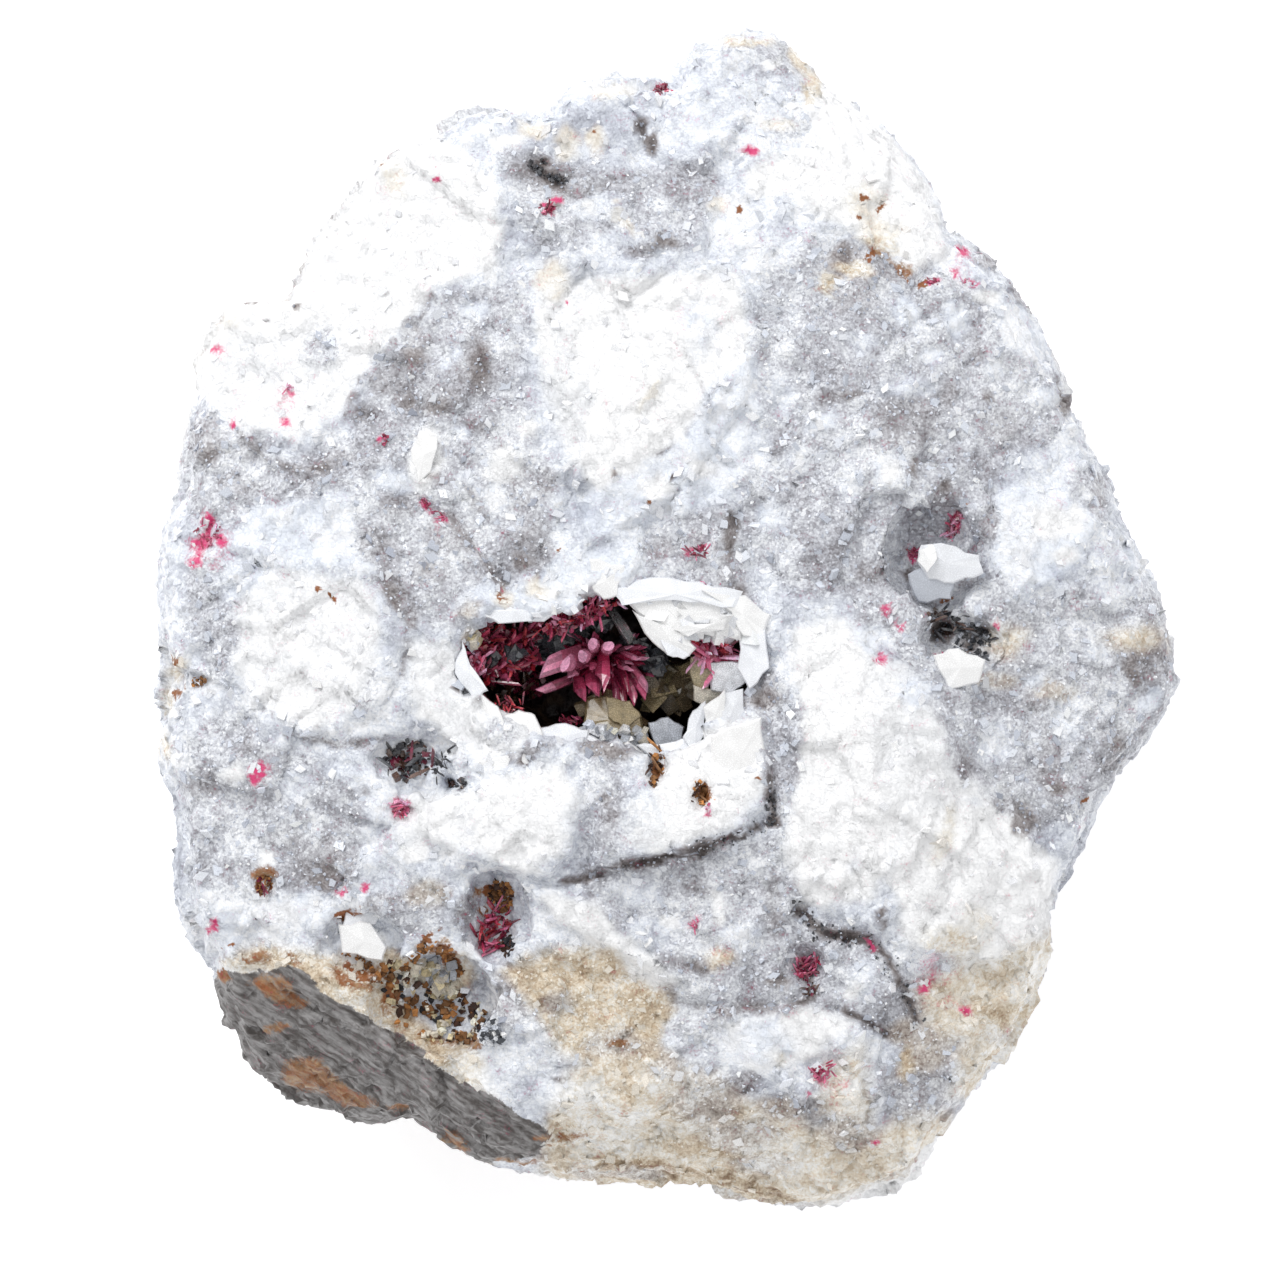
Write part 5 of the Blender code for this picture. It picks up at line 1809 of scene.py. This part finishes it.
REDS = (DEEP, CRIMSON, RED, CRIMSON, ROSE)
GROWTHS = (
    Growth("erythrite_roof_crystals", ERYTHRITE, ("erythrite_roof_crust",), (
        Crowd(Outline(((540, 621), (560, 612), (585, 600), (599, 585), (606, 596), (620, 604), (600, 614),
            (585, 628), (560, 634), (538, 628))), 43.4, 210, (0.25, 0.7), (*REDS, RED, PINK), 0.45, 0.0,
            0.012),
    )),
    Growth("erythrite_left_crystals", ERYTHRITE, ("erythrite_left_crust",), (
        Crowd(Outline(((467, 630), (490, 624), (545, 628), (545, 650), (530, 668), (505, 682), (484, 680),
            (468, 662))), 41.2, 330, (0.3, 0.9), (*REDS, DEEP, DEEP), 0.4, -0.035, 0.0),
        # Pale pink crystals here stand for a glint: a painted highlight.
        Crowd(Oval(478, 664, 9, 13), 43.2, 40, (0.3, 0.7), (ROSE, PINK, CRIMSON), 0.2),
        Crowd(Oval(508, 704, 22, 5, -12), 43.2, 26, (0.25, 0.5), (RED, DEEP), 1.0),
        Crowd(Oval(572, 719, 12, 5, 10), 38.5, 20, (0.3, 0.6), (CRIMSON, ROSE), 0.4),
        # Dark red and brown crystals low in the cavity, darker partly as painted shade of its interior.
        Crowd(Oval(520, 685, 32, 14), 37.0, 60, (0.4, 0.9), (DEEP, DARK_BROWN), 0.2),
    )),
    Growth("erythrite_right_crystals", ERYTHRITE, ("erythrite_right_cluster",), (
        Crowd(Outline(((697, 636), (720, 630), (731, 648), (728, 660), (712, 662), (698, 650))), 42.8, 170,
            (0.4, 1.1), (*REDS, ROSE, PINK), 0.35),
        Crowd(Oval(703, 655, 4, 6), 43.2, 8, (0.5, 0.8), (PINK,), 0.4),
    )),
    Growth("ore_blocks_left", ORE, ("ore_crystals_left",), (
        Crowd(Outline(((540, 632), (562, 626), (590, 624), (590, 634), (560, 646), (548, 662), (532, 664),
            (532, 645))), 39.6, 70, (0.7, 1.6), (BLACK, BLACK, COAL), 0.0),
        Crowd(Oval(491, 658, 6, 7), 42.0, 9, (0.7, 1.1), (COAL, BLACK)),
        Crowd(Oval(514, 654, 10, 5), 42.2, 12, (0.8, 1.3), (COAL,)),
        Crowd(Oval(603, 621, 12, 7), 41.4, 24, (0.5, 1.2), (BLACK, COAL)),
    )),
    Growth("ore_blocks_right", ORE, ("ore_crystals_right",), (
        Crowd(Outline(((622, 636), (640, 640), (662, 658), (660, 672), (646, 668), (630, 650))), 40.0, 50,
            (0.6, 1.5), (BLACK, BLACK, COAL)),
    )),
    Growth("black_branches_left", ORE, ("black_crystals_left",), (
        Crowd(Oval(411, 759, 24, 20), None, 90, (0.25, 0.9), (BLACK, COAL, DARK_BROWN, DEEP), 0.3),
        Crowd(Seam(((436, 775), (443, 762), (450, 752)), 5), None, 26, (0.2, 0.5), (BLACK,), 0.5),
        Crowd(Oval(458, 782, 9, 6), None, 20, (0.3, 0.6), (DARK_BROWN, BLACK)),
    )),
    Growth("black_crumbs_right", ORE, ("black_crystals_right",), (
        Crowd(Oval(971, 643, 17, 20), None, 70, (0.2, 0.7), (BLACK, COAL, MIST, COAL), 0.3),
        Crowd(Oval(941, 622, 18, 13, -25), None, 60, (0.2, 0.7), (BLACK, DARK_BROWN, COAL), 0.3),
        Crowd(Seam(((797, 906), (818, 930), (845, 934), (866, 936)), 15), None, 70, (0.1, 0.38), (BLACK,
            COAL, MIST)),
        Crowd(Seam(((874, 944), (886, 958), (905, 1000), (915, 1020)), 16), None, 60, (0.1, 0.35), (BLACK,
            COAL, MIST)),
        Crowd(Seam(((685, 848), (716, 840), (762, 822)), 13), None, 44, (0.1, 0.35), (BLACK, COAL, MIST)),
        Crowd(Oval(555, 182, 16, 6, -25), None, 40, (0.15, 0.5), (BLACK, COAL)),
        Crowd(Oval(538, 168, 8, 7), None, 24, (0.15, 0.45), (BLACK,)),
        Crowd(Oval(770, 806, 6, 20), None, 30, (0.15, 0.4), (BLACK, COAL)),
    )),
    Growth("erythrite_rosette_petals", ERYTHRITE, ("erythrite_rosette",), (
        Crowd(Oval(402, 807, 9, 8), None, 45, (0.25, 0.6), (ROSE, PINK, CRIMSON), 0.5),
    )),
    Growth("erythrite_slit_blades", ERYTHRITE, ("erythrite_right_slit",), (
        Crowd(Oval(952, 528, 6, 14, -25), None, 60, (0.2, 0.6), (CRIMSON, ROSE, PINK, DEEP), 0.5),
        Crowd(Oval(910, 553, 5, 6), None, 24, (0.2, 0.5), (CRIMSON, ROSE), 0.5),
        Crowd(Oval(698, 552, 9, 5, 25), None, 34, (0.2, 0.45), (CRIMSON, ROSE, DEEP), 0.4),
        Crowd(Oval(707, 592, 8, 5), None, 26, (0.2, 0.45), (CRIMSON, ROSE, PINK), 0.4),
        Crowd(Oval(662, 92, 7, 6), None, 26, (0.2, 0.5), (CRIMSON, DEEP), 0.3),
        Crowd(Oval(548, 213, 8, 5), None, 22, (0.2, 0.5), (CRIMSON, DEEP, ROSE), 0.3),
        Crowd(Oval(933, 285, 8, 3), None, 20, (0.15, 0.4), (ROSE, CRIMSON), 0.3),
        Crowd(Oval(965, 286, 5, 5), None, 14, (0.15, 0.35), (ROSE, PINK), 0.3),
        Crowd(Oval(213, 535, 12, 16), None, 40, (0.15, 0.45), (ROSE, PINK, CRIMSON), 0.3),
        Crowd(Oval(387, 442, 5, 5), None, 12, (0.15, 0.4), (CRIMSON, ROSE), 0.3),
        Crowd(Oval(820, 1069, 11, 8, 30), None, 34, (0.2, 0.5), (CRIMSON, ROSE), 0.3),
        Crowd(Seam(((424, 502), (446, 520)), 5), None, 26, (0.15, 0.4), (ROSE, CRIMSON), 0.3),
        Crowd(Oval(293, 388, 4, 5), None, 10, (0.15, 0.35), (ROSE, PINK), 0.3),
        Crowd(Oval(707, 807, 3, 7), None, 12, (0.15, 0.35), (ROSE, PINK), 0.3),
        Crowd(Oval(694, 921, 3, 6), None, 10, (0.15, 0.35), (ROSE,), 0.3),
    )),
    Growth("spar_points", SPAR, ("spar_points_right",), (), (
        Slab(((914, 562), (918, 546), (938, 544), (975, 556), (980, 574), (950, 584), (925, 580)), 45.2, 2.2,
            0.10, 0.30, ICE),
        Slab(((914, 562), (918, 546), (930, 545), (934, 560), (924, 574)), 45.5, 2.0, 0.35, -0.1, CHALK),
        Slab(((905, 575), (925, 566), (951, 580), (948, 600), (915, 602)), 44.2, 2.0, 0.1, 0.2, MIST),
        Slab(((930, 655), (955, 648), (982, 660), (975, 682), (945, 690)), 45.3, 2.0, 0.0, 0.15, CHALK),
    )),
    Growth("erythrite_sprig_blades", ERYTHRITE, ("erythrite_lower_sprig",), (
        Crowd(Outline(((478, 935), (485, 915), (500, 905), (512, 915), (505, 945), (482, 946))), None, 110,
            (0.25, 0.75), (CRIMSON, DEEP, ROSE, RED), 0.5),
    )),
    Growth("rust_crumbs_middle", RUST, ("rust_crust_middle",), (
        Crowd(Oval(502, 893, 12, 16), None, 90, (0.25, 0.8), (DARK_BROWN, BROWN, ORANGE)),
        Crowd(Oval(510, 942, 7, 10), None, 34, (0.3, 0.7), (BLACK, DARK_BROWN)),
        Crowd(Oval(657, 768, 7, 18, -18), None, 40, (0.2, 0.7), (BROWN, ORANGE, DARK_BROWN), 0.5),
        Crowd(Oval(699, 791, 8, 12, -18), None, 34, (0.2, 0.6), (BROWN, ORANGE, DARK_BROWN), 0.4),
        Crowd(Oval(267, 882, 9, 8), None, 34, (0.2, 0.5), (BROWN, DEEP, ORANGE), 0.3),
        Crowd(Oval(202, 682, 7, 5), None, 18, (0.2, 0.5), (BROWN, ORANGE)),
    )),
    Growth("rust_crumbs_left", RUST, ("rust_crust_left",), (
        Crowd(Outline(((385, 960), (408, 955), (430, 985), (470, 990), (486, 1010), (478, 1038), (430, 1040),
            (398, 1020), (386, 990))), None, 210, (0.3, 1.0), (DARK_BROWN, BROWN, ORANGE, BLACK, BROWN,
            CREAMY, GOLD)),
        Crowd(Seam(((405, 970), (430, 940), (450, 950), (462, 972)), 7), None, 70, (0.25, 0.7), (BROWN,
            ORANGE)),
        Crowd(Seam(((345, 948), (370, 962), (388, 980)), 5), None, 40, (0.2, 0.5), (ORANGE, BROWN)),
    )),
    Growth("cream_crystals", CREAM, ("cream_calcite",), (
        Crowd(Outline(((412, 962), (435, 950), (456, 965), (455, 992), (430, 985))), None, 50, (0.5, 1.4),
            (CREAMY, GOLD, CREAMY, MIST)),
        Crowd(Oval(476, 636, 11, 9), 43.9, 14, (0.7, 1.3), (CREAMY, GOLD, MIST)),
    )),
    Growth("speckled_grains", SPECKLED, ("speckled_nodule",), (
        Crowd(Oval(492, 1029, 14, 12), None, 90, (0.25, 0.7), (MIST, COAL, MIST, ICE)),
        Crowd(Oval(598, 738, 20, 14), 42.4, 34, (0.7, 1.7), (MIST, ICE, MIST, ICE)),
    )),
    Growth("erythrite_fan_blades", ERYTHRITE, ("erythrite_lower_fan",), (
        Crowd(Oval(805, 963, 11, 10), None, 70, (0.25, 0.7), (CRIMSON, DEEP, ROSE), 0.6),
        Crowd(Seam(((806, 972), (811, 996)), 7), None, 30, (0.2, 0.5), (DEEP, DARK_BROWN), 0.3),
    )),
    Growth("spar_crystal", SPAR, ("spar_crystal_left",), (), (
        Slab(((341, 922), (373, 920), (389, 945), (385, 958), (345, 950)), 41.6, 2.5, -0.05, 0.12, CHALK),
        Slab(((350, 905), (385, 905), (378, 922), (345, 924)), 41.2, 2.0, 0.0, -0.15, ICE),
    )),
    Growth("amber_crystals", AMBER, ("amber_calcite",), (Crowd(Outline(((586, 698), (612, 700), (642, 722), (640, 742), (600, 742), (584, 720))), 39.6, 14, (1.6, 2.8), ((0.30, 0.22, 0.12), (0.20, 0.13, 0.07))), Crowd(Outline(((650, 668), (690, 666), (694, 700), (655, 704))), 38.6, 26, (1.6, 3.0), ((0.26, 0.21, 0.12), (0.16, 0.12, 0.07)))), (
        Slab(((586, 700), (606, 694), (640, 712), (646, 738), (602, 746), (584, 722)), 41.6, 3.5, 0.05,
            -0.35, (0.36, 0.27, 0.14)),
        Slab(((606, 696), (630, 700), (642, 716), (624, 728), (608, 716)), 42.0, 3.0, -0.2, -0.2, (0.45,
            0.36, 0.21)),
        Slab(((584, 724), (604, 716), (618, 732), (606, 748), (588, 744)), 42.0, 3.0, 0.2, -0.3, (0.50, 0.46,
            0.36)),
    )),
    Growth("honey_crystals", HONEY, ("honey_calcite",), (Crowd(Oval(628, 736, 22, 8), 42.6, 36, (0.5, 1.2), (MIST, ICE, CREAMY)),), (
        Slab(((690, 656), (706, 655), (711, 668), (708, 690), (694, 688), (689, 672)), 42.6, 3.5, 0.2, 0.05,
            GOLD),
        Slab(((709, 662), (742, 662), (748, 680), (730, 694), (710, 690)), 43.9, 3.0, 0.15, 0.1, ICE),
        Slab(((692, 684), (722, 690), (727, 700), (706, 706), (693, 700)), 42.8, 3.0, 0.1, 0.25, CREAMY),
        Slab(((648, 722), (668, 716), (684, 726), (680, 744), (655, 744)), 42.6, 3.0, 0.0, -0.1, MIST),
    )),
    Growth("spar_plates", SPAR, ("spar_blades",), (Crowd(Outline(((622, 598), (700, 598), (752, 612), (752, 640), (735, 640), (690, 640), (660, 630), (630, 606))), 44.6, 90, (0.8, 2.4), (CHALK, ICE, ICE)),), (
        Slab(((622, 597), (646, 592), (700, 596), (735, 606), (756, 628), (736, 640), (700, 634), (660, 628),
            (636, 612)), 45.4, 2.4, 0.0, 0.10, CHALK),
        Slab(((632, 610), (660, 624), (684, 634), (696, 648), (689, 656), (683, 659), (667, 655), (652,
            642)), 45.4, 2.0, 0.05, 0.25, CHALK),
        Slab(((660, 640), (676, 646), (690, 655), (683, 659), (667, 655)), 45.5, 1.6, -0.3, -0.2, ICE),
        Slab(((673, 630), (726, 618), (723, 630), (687, 637)), 46.3, 1.2, 0.1, 0.35, CHALK),
        Slab(((481, 612), (492, 596), (520, 600), (560, 612), (545, 622), (500, 624)), 45.6, 1.6, 0.0, -0.15,
            ICE),
        Slab(((590, 560), (625, 566), (618, 596), (604, 600), (592, 588)), 45.9, 1.4, 0.1, 0.1, CHALK),
        Slab(((503, 716), (520, 709), (536, 714), (545, 738), (538, 752), (512, 746)), 45.8, 2.4, 0.25, -0.1,
            CHALK),
        Slab(((540, 727), (566, 722), (590, 729), (586, 744), (556, 752), (545, 742)), 45.3, 2.2, -0.1,
            -0.25, ICE),
        Slab(((480, 690), (500, 706), (512, 730), (500, 742), (480, 720)), 45.8, 2.0, 0.3, 0.1, CHALK),
        Slab(((682, 736), (692, 710), (705, 700), (704, 728), (694, 752)), 45.4, 2.6, -0.45, 0.0, ICE),
        Slab(((702, 706), (724, 688), (726, 716), (704, 744)), 45.9, 2.2, 0.1, 0.35, CHALK),
        Slab(((722, 692), (742, 688), (744, 712), (722, 736)), 45.8, 2.2, -0.35, 0.1, ICE),
        Slab(((612, 588), (650, 578), (700, 582), (742, 592), (735, 608), (690, 603), (650, 602), (622,
            606)), 45.9, 1.6, 0.0, -0.2, ICE),
        Slab(((700, 590), (745, 596), (770, 615), (762, 640), (742, 636), (730, 612)), 45.7, 1.8, -0.2, 0.0,
            CHALK),
        Slab(((738, 640), (764, 630), (768, 668), (748, 690), (736, 668)), 45.4, 2.4, 0.3, 0.0, ICE),
        Slab(((560, 742), (584, 730), (604, 742), (598, 762), (572, 764)), 45.2, 2.2, 0.1, -0.4, ICE),
        Slab(((604, 748), (628, 740), (646, 750), (640, 768), (612, 770)), 45.1, 2.0, -0.2, -0.3, CHALK),
        Slab(((636, 744), (665, 742), (690, 736), (700, 760), (668, 768)), 45.3, 2.0, 0.0, -0.2, ICE),
        Slab(((464, 640), (472, 664), (490, 690), (476, 700), (456, 672)), 45.6, 1.8, 0.35, 0.0, ICE),
        Slab(((710, 735), (760, 716), (768, 760), (745, 790), (715, 775)), 46.6, 1.6, -0.1, 0.1, CHALK),
        Slab(((560, 770), (590, 752), (612, 770), (600, 800), (570, 802)), 46.2, 1.4, 0.1, -0.1, ICE),
        Slab(((480, 760), (520, 750), (556, 762), (548, 792), (500, 800)), 46.5, 1.4, 0.05, 0.1, CHALK),
        Slab(((640, 790), (680, 780), (700, 806), (670, 830), (640, 820)), 46.4, 1.4, -0.1, -0.1, ICE),
        Slab(((433, 474), (440, 440), (424, 434), (413, 452), (420, 486)), 45.6, 1.2, 0.1, 0.0, CHALK),
    )),
)


@dataclass
class QuartzPrism:
    """The clear six-sided prism beside the spray.

    Attributes:
        base, tip: its ends in pixels.
        base_height, tip_height: their heights in millimetres.
        width: its width in pixels.
    """

    base: Pixel = (609.0, 607.0)
    tip: Pixel = (631.0, 640.0)
    base_height: float = 41.4
    tip_height: float = 44.4
    width: float = 12.0

    def build(self) -> None:
        """Build the prism in place of its solid."""
        made = CrystalMesh("quartz_crystal", 3)
        base = VIEW.point(*self.base, self.base_height)
        tip = VIEW.point(*self.tip, self.tip_height)
        clear = (0.93, 0.94, 0.96)
        made.blade(base, tip, self.width * VIEW.pixel, self.width * VIEW.pixel, clear, clear, 6, 0.75, 0.2)
        made.build(QUARTZ.material(), "clear_quartz", "quartz_prism")


@dataclass
class Chips:
    """Small cleavage chips and grains that stand out all over the rock.

    Attributes:
        plates: how many thin plates of spar.
        grains: how many grey and white grains.
        highest: the height in metres over which none lie.
    """

    plates: int = 2300
    grains: int = 7500
    highest: float = 47.5 * MM

    def scatter(self, surface: Surface, made: CrystalMesh, picked: np.ndarray,
                sizes: tuple[float, float, float], lean: float) -> None:
        """Set a small block on each picked point.

        Args:
            surface: the lump's surface.
            made: the mesh to add to.
            picked: the points' indices.
            sizes: the smallest and largest width and the thickness as a share of it.
            lean: how far blocks lean away from the surface, in radians.
        """
        cool = (
            (0.0, (0.93, 0.94, 0.97)), (0.4, (0.70, 0.74, 0.82)), (0.8, (0.44, 0.47, 0.55)),
            (DARKEST, (0.14, 0.14, 0.16)),
        )
        for index in picked:
            place, normal = Vector(surface.points[index]), Vector(surface.normals[index])
            grey, warm, _ = surface.tones[index]
            shown = max(0.0, grey * made.chance.uniform(0.1, 1.1) - 0.08)
            after = next(i for i in range(1, len(cool)) if shown <= cool[i][0] or i == len(cool) - 1)
            part = min(1.0, (shown - cool[after - 1][0]) / (cool[after][0] - cool[after - 1][0]))
            tint = [a * (1 - part) + b * part for a, b in zip(cool[after - 1][1], cool[after][1])]
            tan = max(0.0, warm) * 0.75
            tint = [a * (1 - tan) + b * tan for a, b in zip(tint, (0.80, 0.71, 0.56))]
            width = made.chance.uniform(sizes[0], sizes[1]) * MM
            chance = made.chance
            tilt = Euler((chance.gauss(0, lean), chance.gauss(0, lean), chance.uniform(0, math.tau)))
            turn = normal.to_track_quat("Z", "Y") @ tilt.to_quaternion()
            block = (width, width * made.chance.uniform(0.5, 0.9), width * sizes[2])
            made.block(place - normal * width * 0.06, block, turn.to_euler(), tuple(tint), 0.5)

    def build(self, surface: Surface, materials: dict[str, bpy.types.Material]) -> None:
        """Scatter the plates and the grains."""
        upward = eased(surface.normals[:, 2] * 1.5) * eased((surface.points[:, 2] - 26 * MM) / (12 * MM))
        open_face = upward * (surface.cave_dark_and_shade < 0.3) * (surface.points[:, 2] < self.highest)
        slate = surface.carried(Stain.SLATE.value)
        grey = surface.tones[:, 0]
        made = CrystalMesh("spar_chips", 21)
        liking = open_face * (slate < 0.3) * (0.35 + eased(grey / 0.3))
        picked = surface.sample(self.plates, 31, lambda rows: liking[rows])
        self.scatter(surface, made, picked, (0.4, 1.15, 0.30), 0.22)
        made.build(materials[SPAR.name], SPAR.name)
        made = CrystalMesh("rock_grains", 22)
        liking_grains = open_face * (slate < 0.3) * eased((grey - 0.3) / 0.5)
        picked = surface.sample(self.grains, 32, lambda rows: liking_grains[rows])
        self.scatter(surface, made, picked, (0.13, 0.36, 0.7), 0.9)
        grains = CrystalFinish("rock_grains", 0.4, 0.0, 1.5, 0.25, 0.3)
        made.build(grains.material(), "matrix_rock")


@dataclass
class Studio:
    """The pale floor, the soft lights and the camera over the face.

    Attributes:
        floor_size: the floor's width in metres.
        camera_height: how high the camera is over the floor in metres.
        waist: the height in metres at which the picture is as wide as shown says.
        aim: the pixel that the camera looks at.
        shown: how many pixels wide the picture is.
    """

    floor_size: float = 30.0
    camera_height: float = 2.0
    waist: float = 24.0 * MM
    aim: Pixel = (640.0, 640.0)
    shown: float = 1280.0

    def floor(self) -> None:
        """Lay the floor."""
        mesh = bpy.data.meshes.new("floor")
        half = self.floor_size / 2
        corners = [(-half, -half, 0), (half, -half, 0), (half, half, 0), (-half, half, 0)]
        mesh.from_pydata(corners, [], [(0, 1, 2, 3)])
        made = bpy.data.objects.new("floor", mesh)
        made.location.z = -0.02 * MM
        paint = Recipe("floor_white")
        paint.shade(Base_Color=(0.93, 0.93, 0.94), Roughness=0.9, Emission_Color=(1, 1, 1),
                    Emission_Strength=0.35)
        mesh.materials.append(paint.material)
        bpy.context.scene.collection.objects.link(made)

    def lamp(self, name: str, place: Vector, size: float, power: float) -> None:
        """Hang a square soft light that faces the lump."""
        light = bpy.data.lights.new(name, "AREA")
        light.size = size
        light.energy = power
        made = bpy.data.objects.new(name, light)
        made.location = place
        made.rotation_euler = (Vector((0, 0, 0.03)) - place).to_track_quat("-Z", "Y").to_euler()
        bpy.context.scene.collection.objects.link(made)

    def surround(self, strength: float) -> None:
        """Fill the room with even white light."""
        world = bpy.data.worlds.new("room")
        world.use_nodes = True
        world.node_tree.nodes["Background"].inputs["Color"].default_value = (1, 1, 1, 1)
        world.node_tree.nodes["Background"].inputs["Strength"].default_value = strength
        bpy.context.scene.world = world

    def camera(self) -> None:
        """Set the camera straight over the face."""
        lens = bpy.data.cameras.new("camera")
        away = self.camera_height - self.waist
        lens.lens = lens.sensor_width * away / (self.shown * VIEW.pixel)
        lens.clip_end = 100.0
        made = bpy.data.objects.new("camera", lens)
        x, y = VIEW.place(*self.aim)
        made.location = (x, y, self.camera_height)
        bpy.context.scene.collection.objects.link(made)
        bpy.context.scene.camera = made

    def build(self) -> None:
        """Set up the floor, lights and camera."""
        self.floor()
        self.surround(0.77)
        self.lamp("key", Vector((-0.35, 0.70, 0.75)), 0.5, 6.0)
        self.lamp("fill", Vector((0.7, -0.2, 0.8)), 0.8, 0.8)
        self.camera()
        bpy.context.scene.view_settings.view_transform = "Standard"


def main() -> None:
    """Build the lump, its crystals and the studio."""
    logging.basicConfig(level=logging.INFO, format="%(message)s")
    Studio().build()
    surface = Surface(Lump().build())
    MainSpray().build()
    QuartzPrism().build()
    materials: dict[str, bpy.types.Material] = {}
    for number, growth in enumerate(GROWTHS):
        growth.build(surface, materials, 100 + number)
    Chips().build(surface, materials)


if __name__ == "__main__":
    main()
